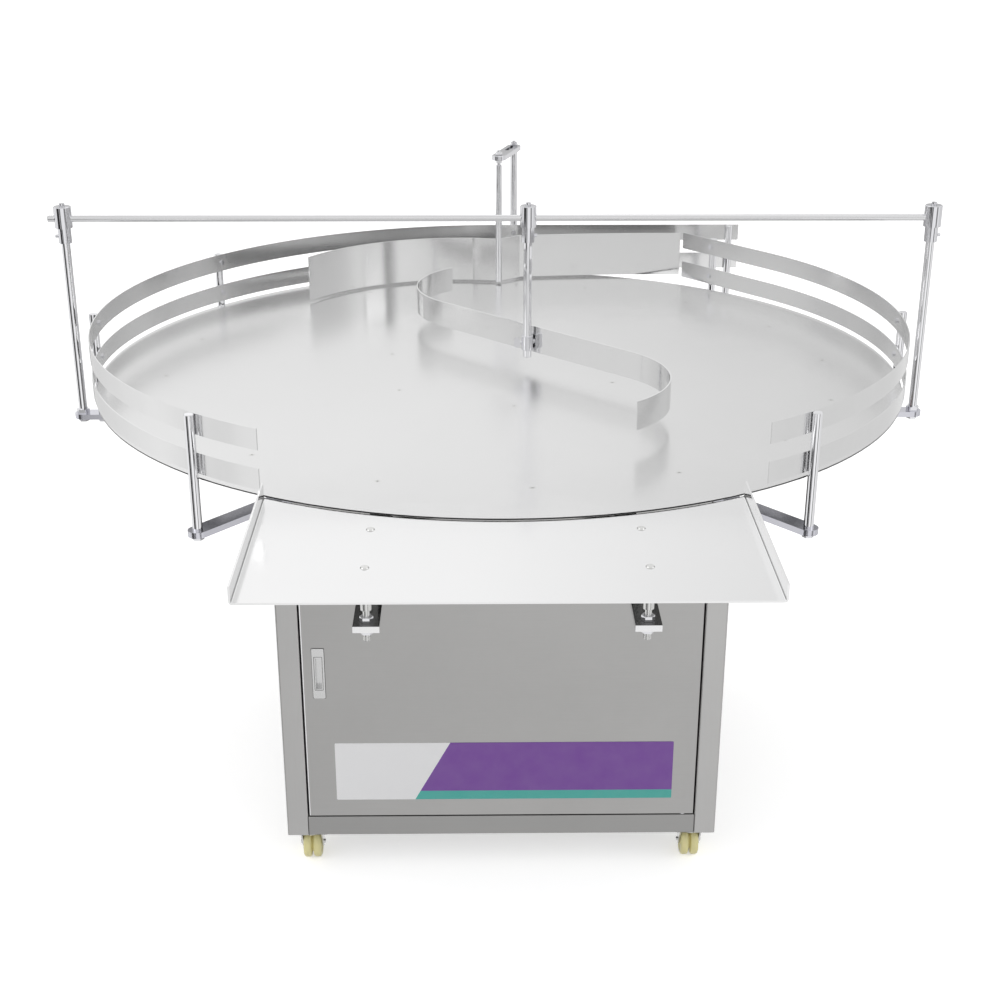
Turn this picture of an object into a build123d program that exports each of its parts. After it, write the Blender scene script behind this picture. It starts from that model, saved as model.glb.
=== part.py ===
import math
import os

from build123d import *

# Feeding turntable. Millimetres. The origin is the centre of the table's top face,
# X points right, Y points away from the operator and Z points up.

# Turntable
disc_radius = 750.0
disc_thickness = 3.0
ring_inset = 123.0
ring_width = 40.0
plate_thickness = 5.0
hub_plate_radius = 260.0
hub_screw_radius = 228.0
spider_arm_count = 8
spider_arm_width = 30.0
spider_arm_height = 35.0
rim_screw_count = 16
hub_screw_count = 6
first_rim_screw_angle = 4.0
first_hub_screw_angle = 36.0
table_screw_radius = 2.5
table_screw_head_radius = 5.0
table_screw_length = 8.0

# Heights of the carrying bars and of the cabinet
arm_drop = 86.0
arm_thickness = 10.0
arm_width = 32.0
top_plate_thickness = 6.0
cabinet_bottom_drop = 785.0
cabinet_size = 800.0
tube = 40.0
tube_wall = 2.0
tube_corner = 3.0
sheet = 1.5
panel_depth = 18.0
foot_thickness = 5.0
floor_sheet_thickness = 2.0
floor_sheet_inset = 22.0
louvre_count = 8
louvre_width = 120.0
louvre_height = 6.0
louvre_spacing = 18.0

# Posts and guide rails
post_radius = 8.0
post_top = 108.0
rail_clearance = 1.0
rail_thickness = 2.0
rail_height = 35.0
lower_rail_bottom = 8.0
rail_pitch = 65.0
outer_rail_front_angle = 240.0
inner_rail_front_angle = 303.0
inner_rail_tangent_angle = 39.3
lane_width = 51.0
inner_rail_end_gap = 32.0
exit_rail_overhang = 136.0
front_post_angles = (230.0, 310.0)
rear_left_post_angle = 141.5
rear_post_x = 42.5
exit_post_inner_back = 84.0
exit_post_outer_back = 23.0
tall_post_offset = 48.0
arm_lap = 100.0
exit_arm_tail = 280.0
arm_bolt_steps = (25.0, 85.0)
bolt_grip = 20.0

# Cross bar and its heads
bar_height = 286.0
bar_radius = 6.0
bar_left_end = 826.0
head_radius = 16.0
head_rise = 23.0
head_fall = 16.0
post_top_fall = 24.0
sleeve_radius = 12.0
sleeve_fall = 44.0
cap_screw_radius = 5.0
cap_screw_height = 5.0
set_screw_fall = 32.0
set_screw_radius = 3.0
set_screw_reach = 5.0
bar_right_reach = 8.0

# Guide hung from the cross bar
guide_rod_x = 53.0
guide_rod_bottom = 22.0
guide_head_radius = 15.0
sliding_clearance = 0.3
clamp_radius = 11.0
clamp_height = 28.0
clamp_middle = 50.0
guide_offset = 14.0
guide_bottom = 30.0
guide_height = 50.0
guide_thickness = 2.0
guide_half_run = 244.0
guide_curve_radius = 189.0
guide_curve_sweep = 96.0
guide_angle = 45.0
wing_gap = 3.0
wing_reach = 11.0
wing_span = 20.0
wing_thickness = 3.0

# Rear deflector
deflector_post_x = 7.0
deflector_post_inset = 110.0
deflector_post_radius = 7.0
deflector_post_top = 265.0
deflector_bottom = 5.0
deflector_height = 95.0
deflector_thickness = 2.0
link_width = 30.0
link_thickness = 10.0
link_bottom = 276.3
link_slot_width = 9.0
link_slot_length = 60.0
stud_radius = 4.0
corner_left_reach = 57.0
corner_left_rise = 6.5
corner_right_reach = 47.0
corner_right_rise = 31.5
wing_lap = 14.0
left_wing_middle_inset = 82.8
left_wing_middle_angle = 110.0
left_wing_end_inset = 125.5
left_wing_end_angle = 130.2
right_wing_middle_reach = 243.0
right_wing_bow = 2.0
right_wing_end_gap = 3.0
rivet_radius = 4.0
rivet_height = 1.6
rivet_shares = (0.1, 0.5, 0.9)

# Feed tray
tray_half_width = 370.0
tray_reach = 283.0
tray_top_drop = 3.0
tray_thickness = 3.0
tray_flange = 24.0
tray_bend_radius = 2.0
tray_stud_x = 199.0
tray_stud_gap = 33.0
tray_stud_pitch = 137.0
tray_bracket_width = 38.0
tray_bracket_overhang = 17.0
tray_bracket_lap = 100.0
tray_stud_radius = 5.0
tray_spacer_radius = 8.0
tray_spacer_bottom = 67.0
tray_stud_bottom = 115.0
tray_lap = 350.0
tray_edge_gap = 3.0
tray_screw_radius = 3.0
tray_screw_head_radius = 6.5
tray_screw_head_height = 1.8
bracket_bolt_inset = 25.0
bracket_bolt_pitch = 50.0

# Fasteners
nut_across_flats = 17.0
nut_height = 8.0
small_nut_across_flats = 13.0
small_nut_height = 6.5
tall_nut_across_flats = 21.0
bolt_radius = 5.0
bolt_end_gap = 2.0
stud_end = 3.0
bolt_head_height = 6.4
rail_screw_radius = 2.5
rail_screw_head_radius = 5.0
rail_screw_head_height = 2.6
rail_screw_depth = 8.0
seat_allowance = 0.05

# Casters
floor_drop = 864.0
wheel_radius = 30.0
wheel_width = 34.0
wheel_shoulder = 6.0
wheel_groove = 2.0
axle_radius = 4.0
fork_wall = 3.0
fork_trail = 14.0
caster_plate = 70.0
caster_plate_thickness = 3.0
race_radius = 23.0
race_height = 5.0
crown_thickness = 4.0
kingpin_radius = 5.0
kingpin_head_radius = 9.0
kingpin_head_height = 2.5
caster_edge = 6.0
fork_shoulder = 36.0
fork_eye_radius = 9.0

# Door
door_gap = 3.0
door_depth = 18.0
pull_inset = 29.0
pull_width = 22.0
pull_height = 100.0
pull_recess_width = 14.0
pull_recess_height = 66.0
pull_recess_depth = 12.0
pivot_inset = 19.0
pivot_radius = 4.0
pivot_block = 14.0
pivot_block_length = 24.0
pivot_reach = 10.0
pivot_fit = 0.2
catch_length = 60.0
catch_width = 16.0
catch_depth = 14.0

# Drive
shaft_radius = 20.0
shaft_end_gap = 8.0
bearing_flange = 150.0
bearing_flange_thickness = 16.0
bearing_body_radius = 52.0
bearing_body_height = 34.0
bearing_bolt_spacing = 110.0
hub_flange_radius = 80.0
hub_flange_thickness = 12.0
hub_boss_radius = 36.0
running_clearance = 0.1
gearbox_flange_radius = 85.0
gearbox_flange_thickness = 12.0
gearbox_body_radius = 72.0
gearbox_body_height = 102.0
gearbox_cover_radius = 58.0
gearbox_cover_height = 6.0
worm_offset = 60.0
worm_housing_radius = 40.0
worm_housing_reach = 80.0
motor_flange_radius = 70.0
motor_flange_thickness = 10.0
motor_radius = 53.0
motor_length = 170.0
motor_fin_count = 28
motor_fin_height = 5.0
motor_fin_width = 3.0
cowl_length = 42.0
cowl_wall = 2.0
cowl_slot_count = 10
cowl_slot_width = 5.0
cowl_slot_inner = 16.0
cowl_slot_outer = 48.0
terminal_box_length = 80.0
terminal_box_depth = 40.0
terminal_box_height = 66.0
drive_unit_height = 140.0
drive_unit_width = 90.0
drive_unit_depth = 60.0
drive_unit_drop = 420.0

# Controls on the right side panel
control_drop = 210.0
control_spacing = 80.0
control_inset = 140.0
collar_radius = 18.0
collar_height = 5.0
control_neck_radius = 11.0
control_block = 34.0
control_block_depth = 36.0
control_stem_radius = 4.0
control_stem_depth = 12.0
control_bore_depth = 25.0
knob_radius = 16.0
knob_height = 18.0
knob_flute_count = 12
knob_flute_radius = 2.0
knob_cap_height = 3.0
knob_mark_width = 1.6
knob_mark_depth = 0.8
button_radius = 20.0
button_height = 12.0
button_travel = 5.0
switch_disc_radius = 15.0
switch_disc_height = 8.0
switch_grip_length = 27.0
switch_grip_width = 8.0
switch_grip_height = 10.0
gland_inset = 150.0
gland_height = 55.0
gland_bore_radius = 4.5
gland_thread_radius = 8.0
gland_across_flats = 22.0
gland_collar = 5.0
gland_cap_radius = 10.0
gland_cap_length = 14.0
gland_thread_length = 12.0

# Small edges and corners
edge_break = 1.0
head_edge = 1.5
post_edge = 2.0
cast_edge = 3.0
plate_corner = 6.0
flange_corner = 18.0
clamp_edge = 0.8

# Values that follow from the sizes above
ring_radius = disc_radius - ring_inset
tall_post_x = disc_radius + tall_post_offset
tall_post_top = bar_height - post_top_fall
head_top = bar_height + head_rise
head_bottom = bar_height - head_fall
sleeve_bottom = bar_height - sleeve_fall
set_screw_height = bar_height - set_screw_fall
deflector_post_y = disc_radius - deflector_post_inset
tray_front = disc_radius + tray_reach
tray_stud_rows = [disc_radius + tray_stud_gap + i * tray_stud_pitch for i in range(2)]
tray_bracket_front = tray_stud_rows[-1] + tray_bracket_overhang
tray_back_reach = disc_radius - tray_lap
arm_bottom_drop = arm_drop + arm_thickness
frame_top_drop = arm_bottom_drop + top_plate_thickness
half_cabinet = cabinet_size / 2
tray_bracket_back = half_cabinet - tray_bracket_lap
bracket_bolt_rows = [half_cabinet - bracket_bolt_inset - i * bracket_bolt_pitch for i in range(2)]
gland_x = gland_inset - half_cabinet
gland_drop = cabinet_bottom_drop - tube - gland_height
leg_place = half_cabinet - tube / 2
bay = cabinet_size - 2 * tube
post_ring_radius = disc_radius + rail_clearance + rail_thickness + post_radius + seat_allowance
rail_radius = disc_radius + rail_clearance + rail_thickness / 2
upper_rail_bottom = lower_rail_bottom + rail_pitch
spider_top = -disc_thickness
spider_bottom = spider_top - plate_thickness - spider_arm_height
wheel_axis_z = wheel_radius - floor_drop
panel_bottom = -cabinet_bottom_drop + tube
panel_top = -frame_top_drop - tube
panel_middle = (panel_bottom + panel_top) / 2
full_height = panel_top - panel_bottom
door_width = bay - 2 * door_gap
pull_x = door_width / 2 - pull_inset
pull_z = -panel_middle
door_height = full_height - 2 * door_gap
door_bottom = panel_bottom + door_gap
door_top = panel_top - door_gap
pivot = (door_width / 2 - pivot_inset, -half_cabinet + door_depth / 2)


def polar(radius, angle):
    """Point at a radius and an angle in degrees."""
    return radius * math.cos(math.radians(angle)), radius * math.sin(math.radians(angle))


def save(builder, name):
    """Label a finished piece and write it as a STEP file."""
    builder.part.label = name
    export_step(builder.part, f"parts/{name}.step")


def upright_plane(point, angle, height):
    """Plane whose normal is horizontal and points along the angle."""
    normal = polar(1.0, angle)
    return Plane(
        origin=(point[0], point[1], height),
        x_dir=(-normal[1], normal[0], 0),
        z_dir=(normal[0], normal[1], 0),
    )


def flat_bar(start, end, width, round_end=True):
    """Flat bar from start to end, with a round end about its far point."""
    run = math.hypot(end[0] - start[0], end[1] - start[1])
    angle = math.degrees(math.atan2(end[1] - start[1], end[0] - start[0]))
    middle = ((start[0] + end[0]) / 2, (start[1] + end[1]) / 2)
    with Locations(Location((middle[0], middle[1], 0), (0, 0, angle))):
        Rectangle(run, width)
    if round_end:
        with Locations(end):
            Circle(width / 2)


def along(start, end, distance):
    """Point at a distance from start towards end."""
    run = math.hypot(end[0] - start[0], end[1] - start[1])
    share = distance / run
    return start[0] + share * (end[0] - start[0]), start[1] + share * (end[1] - start[1])


def shifted(start, end, distance):
    """Point pair moved sideways, to the left of the way from start to end."""
    run = math.hypot(end[0] - start[0], end[1] - start[1])
    side = (-(end[1] - start[1]) / run * distance, (end[0] - start[0]) / run * distance)
    return (start[0] + side[0], start[1] + side[1]), (end[0] + side[0], end[1] + side[1])


def hexagon(across_flats):
    """Regular hexagon by its width across flats."""
    RegularPolygon(across_flats / 2, 6, major_radius=False)


exit_rail_y = rail_radius
rail_outside = rail_radius + rail_thickness / 2
inner_tangent = polar(rail_radius, inner_rail_tangent_angle)
inner_run_direction = polar(1.0, inner_rail_tangent_angle + 90)
inner_rail_run = (
    exit_rail_y - lane_width - inner_rail_end_gap - inner_tangent[1]
) / inner_run_direction[1]
inner_rail_end = (
    inner_tangent[0] + inner_rail_run * inner_run_direction[0],
    inner_tangent[1] + inner_rail_run * inner_run_direction[1],
)
exit_inner_post = (
    polar(post_ring_radius, inner_rail_tangent_angle)[0]
    + (inner_rail_run - exit_post_inner_back) * inner_run_direction[0],
    polar(post_ring_radius, inner_rail_tangent_angle)[1]
    + (inner_rail_run - exit_post_inner_back) * inner_run_direction[1],
)
exit_rail_end = inner_rail_end[0] + exit_rail_overhang
exit_outer_post = (
    exit_rail_end - exit_post_outer_back,
    exit_rail_y - rail_thickness / 2 - post_radius,
)

# Each short post has its place and the direction that its rail screws point in,
# from the product side of the rail towards the post
short_posts = [(polar(post_ring_radius, a), a) for a in front_post_angles]
short_posts += [((-post_ring_radius, 0.0), 180.0), ((post_ring_radius, 0.0), 0.0)]
short_posts += [(polar(post_ring_radius, rear_left_post_angle), rear_left_post_angle)]
short_posts += [(exit_inner_post, inner_rail_tangent_angle)]
short_posts += [(exit_outer_post, 270.0)]
rear_post = (rear_post_x, post_ring_radius)
rail_screw_places = short_posts + [(rear_post, 90.0)]
rail_levels = (lower_rail_bottom, upper_rail_bottom)
tall_posts = ((-tall_post_x, 0.0), (tall_post_x, 0.0))
tray_stud_places = [(sx * tray_stud_x, -row) for row in tray_stud_rows for sx in (-1, 1)]
bracket_bolt_places = [(sx * tray_stud_x, -row) for row in bracket_bolt_rows for sx in (-1, 1)]
left_wing_middle = polar(disc_radius - left_wing_middle_inset, left_wing_middle_angle)
left_wing_end = polar(disc_radius - left_wing_end_inset, left_wing_end_angle)
right_wing_end = (inner_rail_end[0] - right_wing_end_gap, exit_rail_y - lane_width)
right_wing_middle = (
    deflector_post_x + right_wing_middle_reach,
    right_wing_end[1] - right_wing_bow,
)
leg_centres = [(sx * leg_place, sy * leg_place) for sx in (-1, 1) for sy in (-1, 1)]

os.makedirs("parts", exist_ok=True)

# Cabinet frame
with BuildPart() as frame_legs:
    with BuildSketch(Plane.XY.offset(-cabinet_bottom_drop)):
        with Locations(*leg_centres):
            RectangleRounded(tube, tube, tube_corner)
            Rectangle(tube - 2 * tube_wall, tube - 2 * tube_wall, mode=Mode.SUBTRACT)
    extrude(amount=cabinet_bottom_drop - frame_top_drop)
    with BuildSketch(Plane.XY.offset(-cabinet_bottom_drop)):
        with Locations(*leg_centres):
            Rectangle(tube - 2 * tube_wall, tube - 2 * tube_wall)
    extrude(amount=foot_thickness)
save(frame_legs, "frame_legs")


def rail_frame(bottom, pin_side):
    """Four square tubes between the legs, the front one with a hole for the door's pin."""
    with BuildPart() as rails:
        middle = bottom + tube / 2
        for side in (-1, 1):
            with BuildSketch(Plane.XZ.offset(-bay / 2)):
                with Locations((side * leg_place, middle)):
                    RectangleRounded(tube, tube, tube_corner)
                    Rectangle(tube - 2 * tube_wall, tube - 2 * tube_wall, mode=Mode.SUBTRACT)
            extrude(amount=bay)
            with BuildSketch(Plane.YZ.offset(-bay / 2)):
                with Locations((side * leg_place, middle)):
                    RectangleRounded(tube, tube, tube_corner)
                    Rectangle(tube - 2 * tube_wall, tube - 2 * tube_wall, mode=Mode.SUBTRACT)
            extrude(amount=bay)
        with BuildSketch(Plane.XY.offset(middle)):
            with Locations(pivot):
                Circle(pivot_radius + pivot_fit)
        extrude(amount=pin_side * tube / 2, mode=Mode.SUBTRACT)
    return rails


save(rail_frame(-cabinet_bottom_drop, 1), "lower_rails")
save(rail_frame(-frame_top_drop - tube, -1), "upper_rails")


def pan(plane, width, height, depth):
    """Folded sheet pan, open towards the plane's normal side."""
    with BuildPart() as folded:
        with BuildSketch(plane):
            Rectangle(width, height)
        extrude(amount=depth)
        with BuildSketch(plane.offset(sheet)):
            Rectangle(width - 2 * sheet, height - 2 * sheet)
        extrude(amount=depth - sheet, mode=Mode.SUBTRACT)
    return folded


front_face = Plane(origin=(0, -half_cabinet, panel_middle), x_dir=(1, 0, 0), z_dir=(0, 1, 0))
rear_face = Plane(origin=(0, half_cabinet, panel_middle), x_dir=(-1, 0, 0), z_dir=(0, -1, 0))
left_face = Plane(origin=(-half_cabinet, 0, panel_middle), x_dir=(0, -1, 0), z_dir=(1, 0, 0))
right_face = Plane(origin=(half_cabinet, 0, panel_middle), x_dir=(0, 1, 0), z_dir=(-1, 0, 0))
control_places = [control_inset - half_cabinet + i * control_spacing for i in range(3)]

side_panel_left = pan(left_face, bay, full_height, panel_depth)
save(side_panel_left, "side_panel_left")

right_pan = pan(right_face, bay, full_height, panel_depth)
with BuildPart() as side_panel_right:
    add(right_pan.part)
    for place in control_places:
        with BuildSketch(upright_plane((half_cabinet, place), 0.0, -control_drop)):
            Circle(control_neck_radius)
        extrude(amount=-sheet, mode=Mode.SUBTRACT)
save(side_panel_right, "side_panel_right")

rear_pan = pan(rear_face, bay, full_height, panel_depth)
with BuildPart() as rear_panel:
    add(rear_pan.part)
    with BuildSketch(rear_face):
        with GridLocations(2 * louvre_width, louvre_spacing, 2, louvre_count):
            SlotOverall(louvre_width, louvre_height)
    extrude(amount=sheet, mode=Mode.SUBTRACT)
    with BuildSketch(upright_plane((gland_x, half_cabinet), 90.0, -gland_drop)):
        Circle(gland_thread_radius)
    extrude(amount=-sheet, mode=Mode.SUBTRACT)
save(rear_panel, "rear_panel")

with BuildPart() as floor_panel:
    with BuildSketch(Plane.XY.offset(panel_bottom)):
        Rectangle(cabinet_size - 2 * floor_sheet_inset, cabinet_size - 2 * floor_sheet_inset)
        with Locations(*leg_centres):
            Rectangle(tube, tube, mode=Mode.SUBTRACT)
    extrude(amount=floor_sheet_thickness)
save(floor_panel, "floor_panel")

with BuildPart() as top_plate:
    with BuildSketch(Plane.XY.offset(-frame_top_drop)):
        Rectangle(cabinet_size, cabinet_size)
        Circle(hub_boss_radius, mode=Mode.SUBTRACT)
    extrude(amount=top_plate_thickness)
save(top_plate, "top_plate")

# Door on two pivot pins, with a flush pull
pull_face = Plane(origin=(-pull_x, -half_cabinet, -pull_z), x_dir=(1, 0, 0), z_dir=(0, -1, 0))

door_pan = pan(front_face, door_width, door_height, door_depth)
with BuildPart() as front_door:
    add(door_pan.part)
    with BuildSketch(pull_face):
        Rectangle(pull_recess_width, pull_recess_height)
    extrude(amount=-sheet, mode=Mode.SUBTRACT)
    with BuildSketch(Plane.XY.offset(door_bottom)):
        with Locations(pivot):
            Circle(pivot_radius)
    extrude(amount=door_height, mode=Mode.SUBTRACT)
save(front_door, "front_door")

with BuildPart() as door_pull:
    with BuildSketch(pull_face):
        RectangleRounded(pull_width, pull_height, 2 * sheet)
    extrude(amount=sheet)
    with BuildSketch(pull_face):
        Rectangle(pull_recess_width, pull_recess_height)
    extrude(amount=-pull_recess_depth)
    with BuildSketch(pull_face.offset(sheet)):
        Rectangle(pull_recess_width - 2 * sheet, pull_recess_height - 2 * sheet)
    extrude(amount=-pull_recess_depth, mode=Mode.SUBTRACT)
save(door_pull, "door_pull")

with BuildPart() as hinge_pins:
    inner_bottom = door_bottom + sheet
    inner_top = door_top - sheet
    for height, length in ((inner_bottom, pivot_block_length), (inner_top, -pivot_block_length)):
        with BuildSketch(Plane.XY.offset(height)):
            with Locations(pivot):
                Rectangle(pivot_block, pivot_block)
        extrude(amount=length)
    with BuildSketch(Plane.XY.offset(panel_bottom - pivot_reach)):
        with Locations(pivot):
            Circle(pivot_radius)
    extrude(amount=pivot_reach + door_gap + sheet)
    with BuildSketch(Plane.XY.offset(panel_bottom + sliding_clearance)):
        with Locations(pivot):
            Circle(pivot_block / 2)
    extrude(amount=door_gap - sliding_clearance)
    with BuildSketch(Plane.XY.offset(inner_top)):
        with Locations(pivot):
            Circle(pivot_radius)
    extrude(amount=pivot_reach + door_gap + sheet)
save(hinge_pins, "hinge_pins")

with BuildPart() as door_catch:
    with BuildSketch(Plane.XY.offset(-pull_z - catch_length / 2)):
        with Locations((-bay / 2 + catch_width / 2, pivot[1] + door_depth / 2 + catch_depth / 2)):
            Rectangle(catch_width, catch_depth - 2 * sliding_clearance)
    extrude(amount=catch_length)
save(door_catch, "door_catch")

# Turntable
rim_screw_angles = [first_rim_screw_angle + i * 360 / rim_screw_count for i in range(rim_screw_count)]
hub_screw_angles = [first_hub_screw_angle + i * 360 / hub_screw_count for i in range(hub_screw_count)]
table_screw_places = [polar(ring_radius, a) for a in rim_screw_angles]
table_screw_places += [polar(hub_screw_radius, a) for a in hub_screw_angles]
countersink_depth = table_screw_head_radius - table_screw_radius

with BuildPart() as turntable_disc:
    with BuildSketch(Plane.XY.offset(spider_top)):
        Circle(disc_radius)
    extrude(amount=disc_thickness)
    with Locations(Plane.XY):
        with Locations(*table_screw_places):
            CounterSinkHole(table_screw_radius, table_screw_head_radius, counter_sink_angle=90)
save(turntable_disc, "turntable_disc")

with BuildPart() as table_screws:
    with BuildSketch(Plane.XY.offset(-table_screw_length)):
        with Locations(*table_screw_places):
            Circle(table_screw_radius)
    extrude(amount=table_screw_length - countersink_depth)
    with Locations(Plane.XY.offset(-countersink_depth / 2)):
        with Locations(*table_screw_places):
            Cone(table_screw_radius, table_screw_head_radius, countersink_depth)
save(table_screws, "table_screws")

with BuildPart() as table_spider:
    with BuildSketch(Plane.XY.offset(spider_top - plate_thickness)):
        Circle(ring_radius + ring_width / 2)
        Circle(ring_radius - ring_width / 2, mode=Mode.SUBTRACT)
        Circle(hub_plate_radius)
        with Locations(*table_screw_places):
            Circle(table_screw_radius, mode=Mode.SUBTRACT)
    extrude(amount=plate_thickness)
    with BuildSketch(Plane.XY.offset(spider_bottom)):
        with PolarLocations(0, spider_arm_count):
            with Locations(((ring_radius + ring_width / 2) / 2, 0)):
                Rectangle(ring_radius + ring_width / 2, spider_arm_width)
        Circle(hub_flange_radius)
    extrude(amount=spider_arm_height)
save(table_spider, "table_spider")

with BuildPart() as table_hub:
    with BuildSketch(Plane.XY.offset(spider_bottom - hub_flange_thickness)):
        Circle(hub_flange_radius)
        Circle(shaft_radius, mode=Mode.SUBTRACT)
    extrude(amount=hub_flange_thickness)
    hub_boss_length = arm_bottom_drop + spider_bottom - hub_flange_thickness - bearing_body_height
    with BuildSketch(Plane.XY.offset(spider_bottom - hub_flange_thickness)):
        Circle(hub_boss_radius)
        Circle(shaft_radius, mode=Mode.SUBTRACT)
    extrude(amount=-(hub_boss_length - sliding_clearance))
save(table_hub, "table_hub")

gearbox_bottom = -frame_top_drop - gearbox_flange_thickness - gearbox_body_height - gearbox_cover_height
with BuildPart() as drive_shaft:
    with BuildSketch(Plane.XY.offset(gearbox_bottom - shaft_end_gap)):
        Circle(shaft_radius)
    extrude(amount=spider_bottom - gearbox_bottom + shaft_end_gap)
    chamfer(drive_shaft.edges().group_by(Axis.Z)[0], post_edge)
save(drive_shaft, "drive_shaft")

with BuildPart() as bearing_housing:
    with BuildSketch(Plane.XY.offset(-arm_bottom_drop)):
        RectangleRounded(bearing_flange, bearing_flange, flange_corner)
    extrude(amount=bearing_flange_thickness)
    with BuildSketch(Plane.XY.offset(-arm_bottom_drop)):
        Circle(bearing_body_radius)
    extrude(amount=bearing_body_height)
    fillet(bearing_housing.edges().group_by(Axis.Z)[-1], cast_edge)
    with BuildSketch(Plane.XY.offset(-arm_bottom_drop)):
        Circle(shaft_radius + running_clearance)
        with GridLocations(bearing_bolt_spacing, bearing_bolt_spacing, 2, 2):
            Circle(bolt_radius)
    extrude(amount=bearing_body_height, mode=Mode.SUBTRACT)
save(bearing_housing, "bearing_housing")

# Worm gearbox under the top plate
worm_z = -frame_top_drop - gearbox_flange_thickness - gearbox_body_height / 2
worm_face = Plane(origin=(0, worm_offset, worm_z), x_dir=(0, 1, 0), z_dir=(1, 0, 0))

with BuildPart() as gearbox:
    with BuildSketch(Plane.XY.offset(-frame_top_drop - gearbox_flange_thickness)):
        Circle(gearbox_flange_radius)
    extrude(amount=gearbox_flange_thickness)
    with BuildSketch(Plane.XY.offset(gearbox_bottom + gearbox_cover_height)):
        Circle(gearbox_body_radius)
    extrude(amount=gearbox_body_height)
    with BuildSketch(Plane.XY.offset(gearbox_bottom)):
        Circle(gearbox_cover_radius)
    extrude(amount=gearbox_cover_height)
    with BuildSketch(worm_face.offset(-worm_housing_reach)):
        Circle(worm_housing_radius)
    extrude(amount=2 * worm_housing_reach)
    with BuildSketch(worm_face.offset(worm_housing_reach)):
        Circle(motor_flange_radius - motor_flange_thickness)
    extrude(amount=-motor_flange_thickness)
    with BuildSketch(Plane.XY.offset(gearbox_bottom)):
        Circle(shaft_radius + running_clearance)
    extrude(amount=-frame_top_drop - gearbox_bottom, mode=Mode.SUBTRACT)
save(gearbox, "gearbox")

motor_start = worm_housing_reach
motor_end = motor_start + motor_flange_thickness + motor_length
fin_angles = [i * 360 / motor_fin_count for i in range(motor_fin_count)]
fin_angles = [a for a in fin_angles if math.cos(math.radians(a)) > -0.7]
terminal_centre = (
    motor_start + motor_flange_thickness + motor_length / 2,
    worm_offset - motor_radius,
)

with BuildPart() as motor:
    with BuildSketch(worm_face.offset(motor_start)):
        Circle(motor_flange_radius - motor_flange_thickness)
    extrude(amount=motor_flange_thickness)
    with BuildSketch(worm_face.offset(motor_start + motor_flange_thickness)):
        Circle(motor_radius)
        for angle in fin_angles:
            fin_middle = polar(motor_radius + motor_fin_height / 2 - 1, angle)
            with Locations(Location((fin_middle[0], fin_middle[1], 0), (0, 0, angle))):
                Rectangle(motor_fin_height + 2, motor_fin_width)
    extrude(amount=motor_length)
save(motor, "motor")

with BuildPart() as fan_cowl:
    with BuildSketch(worm_face.offset(motor_end)):
        Circle(motor_radius + motor_fin_height)
    extrude(amount=cowl_length)
    fillet(fan_cowl.edges().group_by(Axis.X)[-1], 2 * cowl_wall)
    with BuildSketch(worm_face.offset(motor_end)):
        Circle(motor_radius + motor_fin_height - cowl_wall)
    extrude(amount=cowl_length - cowl_wall, mode=Mode.SUBTRACT)
    with BuildSketch(worm_face.offset(motor_end + cowl_length)):
        with PolarLocations((cowl_slot_inner + cowl_slot_outer) / 2, cowl_slot_count):
            SlotOverall(cowl_slot_outer - cowl_slot_inner, cowl_slot_width)
    extrude(amount=-2 * cowl_wall, mode=Mode.SUBTRACT)
save(fan_cowl, "fan_cowl")

with BuildPart() as terminal_box:
    box_face = Plane(
        origin=(terminal_centre[0], terminal_centre[1], worm_z), x_dir=(1, 0, 0), z_dir=(0, -1, 0)
    )
    with BuildSketch(box_face.offset(-motor_radius / 4)):
        RectangleRounded(terminal_box_length, terminal_box_height, plate_corner)
    extrude(amount=motor_radius / 4 + terminal_box_depth)
    fillet(terminal_box.faces().sort_by(Axis.Y)[0].edges(), cast_edge)
    with BuildSketch(worm_face.offset(motor_start)):
        Circle(motor_radius)
    extrude(amount=motor_length, mode=Mode.SUBTRACT)
save(terminal_box, "terminal_box")

with BuildPart() as drive_unit:
    unit_face = Plane(
        origin=(half_cabinet - sheet, control_places[1], -drive_unit_drop),
        x_dir=(0, 1, 0),
        z_dir=(-1, 0, 0),
    )
    with BuildSketch(unit_face):
        RectangleRounded(drive_unit_width, drive_unit_height, cast_edge)
    extrude(amount=drive_unit_depth)
    with BuildSketch(unit_face.offset(drive_unit_depth)):
        Rectangle(drive_unit_width * 0.6, drive_unit_height * 0.3)
    extrude(amount=-sheet, mode=Mode.SUBTRACT)
save(drive_unit, "drive_unit")

# Bars that carry the posts, laid on the top plate
top_level = -arm_drop
bar_level = -arm_bottom_drop


arm_inner = half_cabinet - arm_lap
arm_runs = [(polar(half_cabinet, a), polar(post_ring_radius, a)) for a in front_post_angles]
arm_runs += [((side * arm_inner, 0.0), (side * tall_post_x, 0.0)) for side in (-1, 1)]
arm_runs += [
    (polar(half_cabinet, rear_left_post_angle), polar(post_ring_radius, rear_left_post_angle)),
    (along((0.0, 0.0), rear_post, arm_inner), rear_post),
    (along(exit_inner_post, exit_outer_post, -exit_arm_tail), exit_outer_post),
]
arm_bolt_places = [along(start, end, d) for start, end in arm_runs for d in arm_bolt_steps]
post_centres = [place for place, angle in short_posts] + [rear_post] + list(tall_posts)

with BuildPart() as post_arms:
    with BuildSketch(Plane.XY.offset(bar_level)):
        for start, end in arm_runs:
            flat_bar(start, end, arm_width)
        with Locations(*post_centres, *arm_bolt_places):
            Circle(bolt_radius, mode=Mode.SUBTRACT)
    extrude(amount=arm_thickness)
save(post_arms, "post_arms")

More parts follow.
